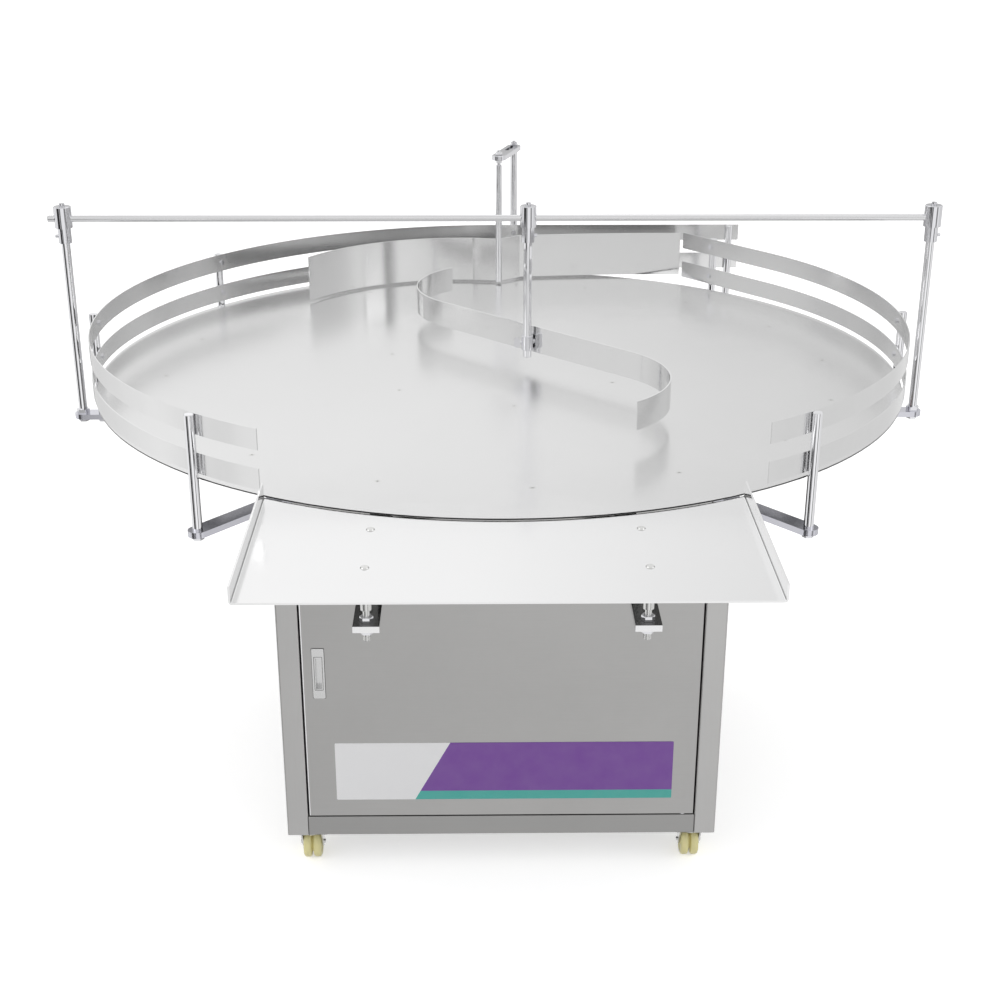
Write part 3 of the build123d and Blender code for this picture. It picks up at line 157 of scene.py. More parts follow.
class Shader:
    """Node tree of one material or world, with one way to add each node."""

    def __init__(self, owner: Union[bpy.types.Material, bpy.types.World]) -> None:
        """Empty a node tree.

        Args:
            owner: The material or world that has the tree.
        """
        self.owner = owner
        self.owner.use_nodes = True
        self.tree = owner.node_tree
        self.tree.nodes.clear()

    @classmethod
    def named(cls, name: str) -> "Shader":
        """Start a new material.

        Args:
            name: The material's name.

        Returns:
            The material's empty tree.
        """
        return cls(bpy.data.materials.new(name))

    def node(
        self, kind: str, settings: Settings | None = None, inputs: Inputs | None = None
    ) -> bpy.types.Node:
        """Add a node, set it and feed its sockets.

        Args:
            kind: The node's type.
            settings: The node's own properties; "stops" are a ramp's places and colours.
            inputs: Numbers, colours or links by socket name or index.

        Returns:
            The new node.
        """
        made = self.tree.nodes.new(kind)
        for key, setting in (settings or {}).items():
            if key == "stops":
                ramp = made.color_ramp
                while len(ramp.elements) < len(setting):
                    ramp.elements.new(1.0)
                for element, (place, colour) in zip(ramp.elements, setting):
                    element.position = place
                    element.color = (*colour, 1.0)
            else:
                setattr(made, key, setting)
        for key, given in (inputs or {}).items():
            socket = made.inputs[key]
            if isinstance(given, Value):
                self.tree.links.new(given.socket, socket)
            elif isinstance(given, Socket):
                self.tree.links.new(given, socket)
            elif socket.type == "RGBA":
                socket.default_value = (*given, 1.0)
            else:
                socket.default_value = given
        return made

    def value(
        self, kind: str, settings: Settings | None = None, inputs: Inputs | None = None
    ) -> Value:
        """Add a node and wrap its first output.

        Args:
            kind: The node's type.
            settings: The node's own properties.
            inputs: Numbers, colours or links by socket.

        Returns:
            The wrapped output.
        """
        return Value(self, self.node(kind, settings, inputs).outputs[0])

    def place(self) -> Socket:
        """Return the point on the piece in its own frame, in metres."""
        return self.node("ShaderNodeTexCoord").outputs["Object"]

    def split(self, point: Socket) -> tuple[Value, Value, Value]:
        """Part a point or direction into numbers.

        Args:
            point: The link that carries it.

        Returns:
            Its parts along X, Y and Z.
        """
        parted = self.node("ShaderNodeSeparateXYZ", None, {0: point})
        return tuple(Value(self, out) for out in parted.outputs)

    def noise(
        self, scale: float, detail: float = 3.0, rough: float = 0.5, stretch: Any = None
    ) -> Value:
        """Return soft noise between 0 and 1.

        Args:
            scale: Features per metre.
            detail: Number of finer layers.
            rough: Weight of the finer layers.
            stretch: What each coordinate is multiplied by first, if anything.

        Returns:
            The noise.
        """
        point = self.place()
        if stretch:
            factors = {0: point, 1: stretch}
            scaled_point = self.node("ShaderNodeVectorMath", {"operation": "MULTIPLY"}, factors)
            point = scaled_point.outputs[0]
        wanted = {"Vector": point, "Scale": scale, "Detail": detail, "Roughness": rough}
        return self.value("ShaderNodeTexNoise", None, wanted)

    def blend(self, share: Number, low: Any, high: Any) -> Any:
        """Mix two colours.

        Args:
            share: 0 gives the first colour and 1 the second.
            low: First colour, given or linked.
            high: Second colour, given or linked.

        Returns:
            The mixed colour's socket.
        """
        made = self.node("ShaderNodeMix", {"data_type": "RGBA"}, {0: share, 6: low, 7: high})
        return made.outputs[2]

    def bump(
        self, height: Value, strength: float, distance: float, under: Socket | None = None
    ) -> Socket:
        """Return a normal raised by a height.

        Args:
            height: The height's number.
            strength: How strong it shows.
            distance: The height's size in metres.
            under: The normal that it is laid over, if any.

        Returns:
            The normal's socket.
        """
        wanted = {"Strength": strength, "Distance": distance, "Height": height}
        if under is not None:
            wanted["Normal"] = under
        return self.node("ShaderNodeBump", None, wanted).outputs[0]

    def finish(self, **inputs: Any) -> bpy.types.Material:
        """Close the tree with a Principled surface.

        Args:
            **inputs: Socket names, with _ for spaces, and their values.

        Returns:
            The finished material.
        """
        named = {key.replace("_", " "): given for key, given in inputs.items()}
        surface = self.node("ShaderNodeBsdfPrincipled", None, named)
        self.node("ShaderNodeOutputMaterial", None, {0: surface.outputs[0]})
        return self.owner


class Grain(Enum):
    """How a sheet's grain is stretched along each axis."""

    ALONG_X = (0.012, 1.0, 1.0)
    ALONG_Y = (1.0, 0.012, 1.0)
    ALONG_Z = (1.0, 1.0, 0.012)
    NONE = (1.0, 1.0, 1.0)


def scaled(colour: Colour, factor: float, lift: float = 0.0) -> Colour:
    """Make a colour darker or lighter.

    Args:
        colour: The colour.
        factor: What each channel is multiplied by.
        lift: What is added to each channel.

    Returns:
        The new colour, held under 1.
    """
    return tuple(min(1.0, channel * factor + lift) for channel in colour)


@dataclass(frozen=True)
class Steel:
    """Bare stainless steel, from satin sheet to polished rod.

    Between two given heights the colour is painted dark: painted shade that stands in for the
    shadow and dark reflection on a rim edge or under a part.
    """

    name: str
    colour: Colour
    rough: float
    grain: Grain = Grain.ALONG_X
    rough_spread: float = 0.06
    tone_spread: float = 0.05
    grain_scale: float = 900.0
    grain_strength: float = 0.15
    cloud_scale: float = 5.0
    wave_depth: float = 0.0
    painted_shade_band: tuple[float, float] | None = None
    painted_shade_tone: float = 0.03
    tone_swing: ClassVar[float] = 0.28
    cloud_weight: ClassVar[float] = 1.5
    mark_weight: ClassVar[float] = 0.6
    line_weight: ClassVar[float] = 0.7
    marks_per_cloud: ClassVar[float] = 9.0
    grain_depth: ClassVar[float] = 0.01 * MM
    wave_scale: ClassVar[float] = 11.0
    wave_stretch: ClassVar[tuple[float, float, float]] = (1.0, 1.0, 0.08)

    def material(self) -> bpy.types.Material:
        """Return the finish's material: drawn grain, soft clouds, marks, rolled waves and, where
        asked, a band of painted shade.
        """
        made = Shader.named(self.name)
        mark_scale = self.cloud_scale * self.marks_per_cloud
        lines = made.noise(self.grain_scale, detail=4.0, rough=0.6, stretch=self.grain.value)
        clouds = made.noise(self.cloud_scale, rough=0.55)
        marks = made.noise(mark_scale, detail=6.0, rough=0.7)
        line, cloud, mark = (noise - NOISE_MIDDLE for noise in (lines, clouds, marks))
        shade = (line + cloud * self.cloud_weight + mark * self.mark_weight) * self.tone_spread
        dark = scaled(self.colour, 1.0 - self.tone_swing)
        light = scaled(self.colour, 1.0 + self.tone_swing)
        base = made.blend(shade / (2.0 * self.tone_swing) + 0.5, dark, light)
        # Painted shade: a dark band between two heights, standing in for shadow and dark
        # reflection.
        if self.painted_shade_band:
            up = made.split(made.place())[2]
            painted_shade_mask = (up > self.painted_shade_band[0]) * (up < self.painted_shade_band[1])
            base = made.blend(painted_shade_mask, base, (self.painted_shade_tone,) * 3)
        uneven = line * self.line_weight + cloud + mark * self.mark_weight
        rough = uneven * self.rough_spread + self.rough
        under = None
        if self.wave_depth:
            waves = made.noise(self.wave_scale, detail=1.0, stretch=self.wave_stretch)
            under = made.bump(waves, 1.0, self.wave_depth)
        normal = made.bump(lines, self.grain_strength, self.grain_depth, under)
        return made.finish(Base_Color=base, Metallic=1.0, Roughness=rough, Normal=normal)


@dataclass(frozen=True)
class Moulded:
    """Moulded plastic, rubber or smooth paint with a fine skin."""

    name: str
    colour: Colour
    rough: float
    tone_spread: float = 0.10
    coat: float = 0.0
    tone_lift: ClassVar[float] = 0.004
    cloud_scale: ClassVar[float] = 24.0
    cloud_rough: ClassVar[float] = 0.14
    skin_scale: ClassVar[float] = 900.0
    skin_rough: ClassVar[float] = 0.06
    skin_strength: ClassVar[float] = 0.3
    skin_depth: ClassVar[float] = 0.04 * MM

    def material(self) -> bpy.types.Material:
        """Return the finish's material: a fine skin and soft changes of tone."""
        made = Shader.named(self.name)
        skin = made.noise(self.skin_scale, detail=2.0)
        clouds = made.noise(self.cloud_scale, detail=4.0, rough=0.6)
        dark = scaled(self.colour, 1.0 - self.tone_spread)
        light = scaled(self.colour, 1.0 + self.tone_spread, self.tone_lift)
        base = made.blend(clouds, dark, light)
        cloud, fine = clouds - NOISE_MIDDLE, skin - NOISE_MIDDLE
        rough = cloud * self.cloud_rough + fine * self.skin_rough + self.rough
        normal = made.bump(skin, self.skin_strength, self.skin_depth)
        return made.finish(
            Base_Color=base, Roughness=rough, Coat_Weight=self.coat, Normal=normal
        )


@dataclass(frozen=True)
class CastPaint:
    """Painted casting with a pebbled skin."""

    name: str
    colour: Colour
    rough: float = 0.45
    dark_share: ClassVar[float] = 0.86
    cloud_scale: ClassVar[float] = 14.0
    pebble_scale: ClassVar[float] = 420.0
    pebble_rough: ClassVar[float] = 0.2
    pebble_strength: ClassVar[float] = 0.5
    pebble_depth: ClassVar[float] = 0.2 * MM

    def material(self) -> bpy.types.Material:
        """Return the finish's material: pebbles under paint."""
        made = Shader.named(self.name)
        pebbles = made.noise(self.pebble_scale, rough=0.6)
        clouds = made.noise(self.cloud_scale)
        base = made.blend(clouds, scaled(self.colour, self.dark_share), self.colour)
        rough = (pebbles - NOISE_MIDDLE) * self.pebble_rough + self.rough
        normal = made.bump(pebbles, self.pebble_strength, self.pebble_depth)
        return made.finish(Base_Color=base, Roughness=rough, Normal=normal)


@dataclass(frozen=True)
class PlainPlate:
    """Printed plate with broad plain fields and no lettering."""

    name: str
    left: float
    bottom: float
    field_left: float
    strip_height: float
    slant: ClassVar[float] = 0.55
    white: ClassVar[Colour] = (0.93, 0.93, 0.94)
    violet: ClassVar[Colour] = (0.19, 0.055, 0.36)
    green: ClassVar[Colour] = (0.06, 0.46, 0.40)
    haze: ClassVar[Colour] = (0.80, 0.80, 0.80)
    haze_share: ClassVar[float] = 0.08
    cloud_scale: ClassVar[float] = 30.0
    cloud_rough: ClassVar[float] = 0.10
    rough: ClassVar[float] = 0.30
    skin_scale: ClassVar[float] = 500.0
    skin_strength: ClassVar[float] = 0.15
    skin_depth: ClassVar[float] = 0.02 * MM

    def material(self) -> bpy.types.Material:
        """Return the plate's material: a white field, a violet one and a thin green strip."""
        made = Shader.named(self.name)
        across, _, up = made.split(made.place())
        height = up - self.bottom
        coloured = (across - self.left - height * self.slant) > self.field_left
        strip = (height < self.strip_height) * coloured
        ink = made.blend(strip, made.blend(coloured, self.white, self.violet), self.green)
        clouds = made.noise(self.cloud_scale)
        base = made.blend(clouds * self.haze_share, ink, self.haze)
        rough = (clouds - NOISE_MIDDLE) * self.cloud_rough + self.rough
        skin = made.noise(self.skin_scale, detail=2.0)
        normal = made.bump(skin, self.skin_strength, self.skin_depth)
        return made.finish(Base_Color=base, Roughness=rough, Normal=normal)


Finish = Union[Steel, Moulded, CastPaint, PlainPlate]


@cache
def material_of(finish: Finish) -> bpy.types.Material:
    """Make a finish's material the first time that it is asked for.

    Args:
        finish: The finish.

    Returns:
        Its one material.
    """
    return finish.material()


@dataclass(frozen=True)
class SoftBox:
    """Soft lamp, with its place and the point that it faces in metres and its power in watts."""

    name: str
    place: Place
    target: Place
    size: tuple[float, float]
    power: float

    def hang(self) -> None:
        """Add the lamp to the scene."""
        light = bpy.data.lights.new(self.name, "AREA")
        light.shape = "RECTANGLE"
        light.size, light.size_y = self.size
        light.energy = self.power
        lamp = bpy.data.objects.new(self.name, light)
        bpy.context.scene.collection.objects.link(lamp)
        turn = (Vector(self.target) - Vector(self.place)).to_track_quat("-Z", "Y")
        lamp.matrix_world = Matrix.Translation(self.place) @ turn.to_matrix().to_4x4()


@dataclass
class Studio:
    """Camera, floor, room light and lamps.

    The rings above, upper and below hold compass degrees from +X and brightness. Each band holds
    the two heights of a direction between which one part of the room passes into the next.
    """

    image_width: float = 1000.0
    focal_pixels: float = 1640.793
    centre_drop_pixels: float = 56.495
    sensor: float = 36.0
    clip_end: float = 100.0
    eye: Place = (-0.038831, -3.004849, 0.933651)
    pitch: float = 23.818
    yaw: float = 0.777
    roll: float = 0.068
    floor_height: float = -0.864
    floor_reach: float = 30.0
    floor_colour: Colour = (0.88, 0.88, 0.88)
    floor_rough: float = 0.6
    floor_glow: float = 0.46
    peak: float = 1.6
    ceiling: float = 0.84
    dimmed: float = 0.32
    ground: float = 0.80
    shown: float = 1.0
    upper_band: tuple[float, float] = (0.30, 0.36)
    dimmed_band: tuple[float, float] = (0.12, 0.28)
    ceiling_band: tuple[float, float] = (0.60, 0.85)
    ground_band: tuple[float, float] = (0.44, 0.53)
    horizon_band: tuple[float, float] = (-0.05, 0.03)
    lamps: tuple[SoftBox, ...] = (
        SoftBox("over_table", (0.3, 0.9, 3.0), (0.0, 0.0, 0.0), (3.0, 2.0), 6.0),
        SoftBox("left_box", (-3.0, -2.0, 1.8), (0.0, 0.0, -0.3), (1.2, 1.8), 9.0),
        SoftBox("right_box", (3.0, -1.6, 1.6), (0.0, 0.0, -0.3), (1.0, 1.6), 6.0),
    )
    above: Pairs = (
        (-180, 1.30), (-165, 1.28), (-150, 1.05), (-120, 0.95), (-97, 1.25), (-82, 1.30),
        (-67, 1.45), (-49, 1.60), (-43, 0.04), (-29, 0.04), (-23, 1.50), (-12, 1.10),
        (0, 0.95), (20, 0.92), (45, 0.95), (62, 0.80), (76, 0.86), (90, 1.06),
        (104, 1.12), (118, 0.78), (134, 0.95), (150, 1.04), (166, 1.28), (180, 1.30),
    )
    upper: Pairs = (
        (-180, 0.98), (20, 0.94), (45, 0.92), (62, 0.80), (76, 0.86), (90, 1.06),
        (104, 1.12), (118, 0.90), (134, 0.96), (180, 0.98),
    )
    below: Pairs = (
        (-180, 0.92), (-166, 0.90), (-158, 1.25), (-154, 0.05), (-122, 0.04), (-119, 1.30),
        (-116, 0.10), (-106, 0.10), (-102, 1.05), (-83, 1.05), (-62, 1.10), (-57, 0.26),
        (-43, 0.28), (-38, 1.10), (-22, 0.92), (-8, 0.84), (30, 0.82), (46, 0.78),
        (62, 0.86), (84, 0.40), (96, 0.46), (108, 0.76), (122, 0.78), (137, 0.88),
        (152, 0.98), (166, 1.06), (180, 0.92),
    )

    def camera(self) -> None:
        """Set the camera at the photograph's place, angle and lens."""
        lens = bpy.data.cameras.new("camera")
        lens.sensor_width = self.sensor
        lens.lens = self.focal_pixels / self.image_width * self.sensor
        lens.shift_y = self.centre_drop_pixels / self.image_width
        lens.clip_end = self.clip_end
        eye = bpy.data.objects.new("camera", lens)
        bpy.context.scene.collection.objects.link(eye)
        pitch, yaw, roll = (math.radians(a) for a in (self.pitch, self.yaw, self.roll))
        ahead = Vector(
            (math.sin(yaw) * math.cos(pitch), math.cos(yaw) * math.cos(pitch), -math.sin(pitch))
        )
        right = Vector((math.cos(yaw), -math.sin(yaw), 0.0))
        up = right.cross(ahead)
        tilted_right = right * math.cos(roll) + up * math.sin(roll)
        tilted_up = up * math.cos(roll) - right * math.sin(roll)
        turn = Matrix((tilted_right, tilted_up, -ahead)).transposed()
        eye.matrix_world = Matrix.Translation(self.eye) @ turn.to_4x4()
        bpy.context.scene.camera = eye

    def floor(self) -> None:
        """Lay a pale floor that shows white and keeps a soft shadow."""
        mesh = bpy.data.meshes.new("floor")
        reach, height = self.floor_reach, self.floor_height
        corners = [(-reach, -reach), (reach, -reach), (reach, reach), (-reach, reach)]
        mesh.from_pydata([(x, y, height) for x, y in corners], [], [(0, 1, 2, 3)])
        floor = bpy.data.objects.new("floor", mesh)
        bpy.context.scene.collection.objects.link(floor)
        made = Shader.named("floor")
        skin = {"Color": self.floor_colour, "Roughness": self.floor_rough}
        matte = made.node("ShaderNodeBsdfDiffuse", None, skin)
        glow = made.node("ShaderNodeEmission", None, {"Strength": self.floor_glow})
        both = made.node(
            "ShaderNodeAddShader", None, {0: matte.outputs[0], 1: glow.outputs[0]}
        )
        seen = made.node("ShaderNodeLightPath").outputs["Is Camera Ray"]
        mixed = made.node(
            "ShaderNodeMixShader", None, {0: seen, 1: matte.outputs[0], 2: both.outputs[0]}
        )
        made.node("ShaderNodeOutputMaterial", None, {0: mixed.outputs[0]})
        mesh.materials.append(made.owner)
        floor.visible_glossy = False

    def grey(self, light: float) -> Colour:
        """Return a plain grey of the wanted brightness, as a share of the peak."""
        return (light / self.peak,) * 3

    def ring(self, made: Shader, turn: Value, stops: Pairs) -> Any:
        """Return the light that comes from each side of the room.

        Args:
            made: The room's node tree.
            turn: The compass turn from 0 to 1.
            stops: Compass degrees from +X and brightness.

        Returns:
            The light's colour, as a share of the peak.
        """
        places = [(degrees / 360 + 0.5, self.grey(light)) for degrees, light in stops]
        return made.node("ShaderNodeValToRGB", {"stops": places}, {0: turn}).outputs[0]

    def world(self) -> None:
        """Light the scene from a soft room with wide pale panels and a few dark gaps."""
        room = bpy.data.worlds.new("room")
        bpy.context.scene.world = room
        made = Shader(room)
        way = made.node("ShaderNodeTexCoord").outputs["Generated"]
        across, depth, up = made.split(way)
        turn = depth.compass(across)
        above, upper, below = (
            self.ring(made, turn, stops) for stops in (self.above, self.upper, self.below)
        )
        walls = made.blend(up.between(*self.upper_band), above, upper)
        dim_share = 1.0 - up.between(*self.dimmed_band)
        walls = made.blend(dim_share, walls, self.grey(self.dimmed))
        high = made.blend(up.between(*self.ceiling_band), walls, self.grey(self.ceiling))
        down = up * -1.0
        low = made.blend(down.between(*self.ground_band), below, self.grey(self.ground))
        light = made.blend(up.between(*self.horizon_band), low, high)
        path = made.node("ShaderNodeLightPath")
        camera, glass = (
            Value(made, path.outputs[f"Is {kind} Ray"]) for kind in ("Camera", "Transmission")
        )
        shown = made.blend(camera.larger(glass), light, self.grey(self.shown))
        glow = made.node("ShaderNodeBackground", None, {"Color": shown, "Strength": self.peak})
        made.node("ShaderNodeOutputWorld", None, {0: glow.outputs[0]})

    def build(self) -> None:
        """Make the whole studio and set the plain view transform."""
        self.camera()
        self.floor()
        self.world()
        for lamp in self.lamps:
            lamp.hang()
        bpy.context.scene.view_settings.view_transform = "Standard"
        log.info("studio: camera, floor, room light and lamps")


@dataclass
class Assembly:
    """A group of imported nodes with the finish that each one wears."""

    label: str
    finishes: dict[Finish, list[str]]

    def dress(self) -> None:
        """Give each node its finish."""
        for finish, names in self.finishes.items():
            material = material_of(finish)
            for name in names:
                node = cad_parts[name]
                node.data.materials.clear()
                node.data.materials.append(material)
                log.info("%s: %s wears %s", self.label, name, material.name)

    def build(self) -> None:
        """Dress the nodes and add this group's own pieces."""
        self.dress()
        self.extras()

    def extras(self) -> None:
        """Add the group's own pieces, where it has any."""


def keep(name: str, mesh: bpy.types.Mesh, finish: Finish, body: str) -> bpy.types.Object:
    """Link a new piece, dress it and let it ride.

    Args:
        name: The piece's name.
        mesh: Its mesh, in place in the part's frame.
        finish: What it wears.
        body: The body that carries it.

    Returns:
        The new piece.
    """
    piece = bpy.data.objects.new(name, mesh)
    bpy.context.scene.collection.objects.link(piece)
    mesh.name = name
    mesh.materials.append(material_of(finish))
    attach(piece, body)
    log.info("%s rides on %s", name, body)
    return piece


SATIN = Steel("satin_sheet", (0.462, 0.458, 0.452), 0.34, tone_spread=0.10)
SATIN_UPRIGHT = Steel("satin_tube", (0.528, 0.524, 0.518), 0.33, Grain.ALONG_Z, tone_spread=0.08)
SATIN_RAIL = Steel("satin_rail", (0.380, 0.377, 0.372), 0.33, tone_spread=0.08)
# The disc's rim edge, 0.3 to 2.2 mm under its top, is painted dark: painted shade standing in for
# the shadow and dark reflection under the rim.
TABLE_SHEET = Steel(
    "table_sheet", (0.74, 0.74, 0.74), 0.23, rough_spread=0.09, tone_spread=0.09,
    grain_scale=420.0, grain_strength=0.05, cloud_scale=2.6, painted_shade_band=(-2.2 * MM, -0.3 * MM),
)
RAIL_SHEET = Steel(
    "rail_sheet", (0.74, 0.74, 0.74), 0.17, Grain.NONE, rough_spread=0.04,
    grain_scale=60.0, grain_strength=0.05, wave_depth=0.5 * MM,
)
BRIGHT_SHEET = Steel(
    "bright_sheet", (0.80, 0.80, 0.80), 0.11, Grain.ALONG_Z, rough_spread=0.04,
    wave_depth=0.8 * MM,
)
TRAY_SHEET = Steel(
    "tray_sheet", (0.90, 0.90, 0.905), 0.15, rough_spread=0.04, tone_spread=0.03,
    grain_scale=420.0, grain_strength=0.04, cloud_scale=3.0,
)
ROD = Steel(
    "polished_rod", (0.86, 0.86, 0.91), 0.03, Grain.ALONG_Z, rough_spread=0.02,
    tone_spread=0.03, grain_strength=0.0,
)
BAR = Steel("drawn_bar", (0.74, 0.74, 0.75), 0.12, rough_spread=0.04, tone_spread=0.04)
TURNED = Steel(
    "turned_steel", (0.72, 0.72, 0.745), 0.07, Grain.NONE, rough_spread=0.05, tone_spread=0.04
)
# The brackets' top, between 86.3 and 85.0 mm under the disc, is painted dark: a painted reflection
# and shade of the tray's dark underside.
BRACKET_BAR = Steel(
    "bracket_bar", (0.88, 0.88, 0.90), 0.16, Grain.ALONG_Y,
    painted_shade_band=(-86.3 * MM, -85.0 * MM), painted_shade_tone=0.12,
)
# Painted highlight: a bright strip's colour that stands in for the light caught by the door's bend.
FOLD_HIGHLIGHT = Steel("painted_fold_highlight", (0.97, 0.97, 0.98), 0.20, Grain.ALONG_Z)
PULL_SHEET = Steel("pull_sheet", (0.66, 0.66, 0.66), 0.24, rough_spread=0.05)
FLAT_BAR = Steel("flat_bar", (0.62, 0.62, 0.67), 0.20, Grain.ALONG_Y, tone_spread=0.06)
ZINC = Steel("zinc_plate", (0.70, 0.70, 0.69), 0.22, Grain.NONE, grain_scale=300.0)
ALUMINIUM = Steel("brushed_plate", (0.60, 0.60, 0.61), 0.34, Grain.ALONG_Y)
BLACK_PLASTIC = Moulded("black_plastic", (0.030, 0.030, 0.032), 0.38)
BLACK_PAINT = Moulded("black_paint", (0.022, 0.022, 0.024), 0.30, coat=0.3)
CREAM_NYLON = Moulded("cream_nylon", (0.93, 0.86, 0.44), 0.34, tone_spread=0.07)
RED_PLASTIC = Moulded("red_plastic", (0.52, 0.016, 0.014), 0.28, coat=0.4)
GREY_PLASTIC = Moulded("grey_plastic", (0.12, 0.125, 0.13), 0.42)
CAST_GREY = CastPaint("cast_grey", (0.085, 0.10, 0.12))
RIBBED = Steel("ribbed_casting", (0.42, 0.43, 0.45), 0.42, Grain.NONE, grain_scale=500.0)
FRAME_PAINT = CastPaint("frame_paint", (0.17, 0.175, 0.18), 0.40)
YELLOW_PLASTIC = Moulded("yellow_plastic", (0.80, 0.52, 0.03), 0.40)
BLACK_INK = Moulded("black_ink", (0.015, 0.015, 0.016), 0.5, tone_spread=0.2)
SEAM = Moulded("seam", (0.05, 0.048, 0.045), 0.6, tone_spread=0.3)


def solid_boxes(name: str) -> list[tuple[Vector, Vector]]:
    """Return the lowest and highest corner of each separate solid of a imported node.

    Args:
        name: The node's name.

    Returns:
        One pair of corners for each solid, in the order of the node's points.
    """
    made = bmesh.new()
    made.from_mesh(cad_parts[name].data)
    bmesh.ops.remove_doubles(made, verts=made.verts, dist=0.001 * MM)
    made.verts.ensure_lookup_table()
    seen: set[int] = set()
    boxes = []
    for start in made.verts:
        if start.index in seen:
            continue
        seen.add(start.index)
        waiting, points = [start], []
        while waiting:
            here = waiting.pop()
            points.append(here.co.copy())
            for edge in here.link_edges:
                other = edge.other_vert(here)
                if other.index not in seen:
                    seen.add(other.index)
                    waiting.append(other)
        low = Vector([min(point[axis] for point in points) for axis in range(3)])
        high = Vector([max(point[axis] for point in points) for axis in range(3)])
        boxes.append((low, high))
    made.free()
    return boxes


class Side(Enum):
    """An upright face of the cabinet, as the direction to the right of whoever looks at it."""

    FRONT = (1.0, 0.0, 0.0)
    RIGHT = (0.0, 1.0, 0.0)


def facing(place: Sequence[float], side: Side) -> Matrix:
    """Return the frame of a flat piece on an upright face.

    Args:
        place: Its origin.
        side: The face that it lies on.

    Returns:
        The frame, with its second axis up and its third out of the face.
    """
    right, up = Vector(side.value), Vector((0.0, 0.0, 1.0))
    turn = Matrix((right, up, right.cross(up))).transposed()
    return Matrix.Translation(place) @ turn.to_4x4()


def ring_points(radius: float, steps: int) -> list[tuple[float, float]]:
    """Return points evenly round a circle.

    Args:
        radius: The circle's radius.
        steps: Number of points.

    Returns:
        The points, once round.
    """
    angles = [math.tau * step / steps for step in range(steps)]
    return [(radius * math.cos(angle), radius * math.sin(angle)) for angle in angles]


def rounded_outline(
    width: float, height: float, radius: float | None = None
) -> list[tuple[float, float]]:
    """Return a rectangle with round corners about the origin.

    Args:
        width: Its full width.
        height: Its full height.
        radius: The corners' radius. A thin line has none given and takes a third of its width.

    Returns:
        Its points, once round.
    """
    radius = radius or min(width, height) / 3
    outline = []
    inner_x, inner_y = width / 2 - radius, height / 2 - radius
    for quarter, (sx, sy) in enumerate(((1, 1), (-1, 1), (-1, -1), (1, -1))):
        for step in range(CORNER_STEPS + 1):
            angle = math.radians(90 * quarter + 90 * step / CORNER_STEPS)
            x, y = radius * math.cos(angle), radius * math.sin(angle)
            outline.append((sx * inner_x + x, sy * inner_y + y))
    return outline


def bridge(made: BMesh, rings: Sequence[Any], closed: bool = False) -> None:
    """Join each ring of points to the next one with four-sided faces.

    Args:
        made: The mesh in the making.
        rings: Rings with equally many points.
        closed: Whether the last ring joins the first.
    """
    following = [*rings[1:], rings[0]] if closed else rings[1:]
    for lower, upper in zip(rings, following):
        for index in range(len(lower)):
            after = (index + 1) % len(lower)
            made.faces.new((lower[index], lower[after], upper[after], upper[index]))


def slab(
    made: BMesh, outline: Pairs, thickness: float, place: Matrix, edge: float = 0.0
) -> None:
    """Add a flat piece, with a softened front edge where it has one, to a mesh in the making.

    Args:
        made: The mesh in the making.
        outline: The face's points, once round.
        thickness: How far it stands out.
        place: The piece's frame.
        edge: Width of the softened edge.
    """
    centre = Vector([sum(point[axis] for point in outline) / len(outline) for axis in range(2)])
    reach = max((Vector(point) - centre).length for point in outline)
    levels = [(1.0, 0.0), (1.0, thickness - edge)]
    if edge:
        levels.append((1.0 - edge / reach, thickness))
    rings = []
    for share, height in levels:
        points = [centre + (Vector(point) - centre) * share for point in outline]
        rings.append([made.verts.new(place @ Vector((p.x, p.y, height))) for p in points])
    made.faces.new(list(reversed(rings[0])))
    made.faces.new(rings[-1])
    bridge(made, rings)


def line_frame(
    made: BMesh, size: tuple[float, float], line: float, height: float, place: Matrix
) -> None:
    """Add a thin line round a rectangle to a mesh in the making.

    Args:
        made: The mesh in the making.
        size: The rectangle's width and height.
        line: Width of the line.
        height: How far it stands out.
        place: The rectangle's frame.
    """
    inner = rounded_outline(*size, line)
    outer = rounded_outline(size[0] + 2 * line, size[1] + 2 * line, 2 * line)
    rings = [
        [made.verts.new(place @ Vector((x, y, level))) for x, y in points]
        for points, level in ((outer, 0.0), (outer, height), (inner, height), (inner, 0.0))
    ]
    bridge(made, rings, closed=True)


def finished(made: BMesh, smooth_below: float = 35.0) -> bpy.types.Mesh:
    """Turn a mesh in the making into a mesh with outward faces.

    Args:
        made: The mesh in the making, which is freed.
        smooth_below: Edges under this many degrees are shaded smooth.

    Returns:
        The mesh.
    """
    bmesh.ops.recalc_face_normals(made, faces=made.faces)
    mesh = bpy.data.meshes.new("piece")
    made.to_mesh(mesh)
    made.free()
    mesh.shade_smooth()
    mesh.set_sharp_from_angle(angle=math.radians(smooth_below))
    return mesh


def revolved(outline: Pairs, centre: Vector, steps: int) -> bpy.types.Mesh:
    """Turn a closed outline about an axis along X.

    Args:
        outline: Points as distance along the axis and radius.
        centre: The axis's middle.
        steps: Points round the axis.

    Returns:
        The turned mesh.
    """
    made = bmesh.new()
    rings = []
    for along, radius in outline:
        points = ring_points(radius, steps)
        rings.append([made.verts.new(centre + Vector((along, y, z))) for y, z in points])
    bridge(made, rings, closed=True)
    return finished(made)


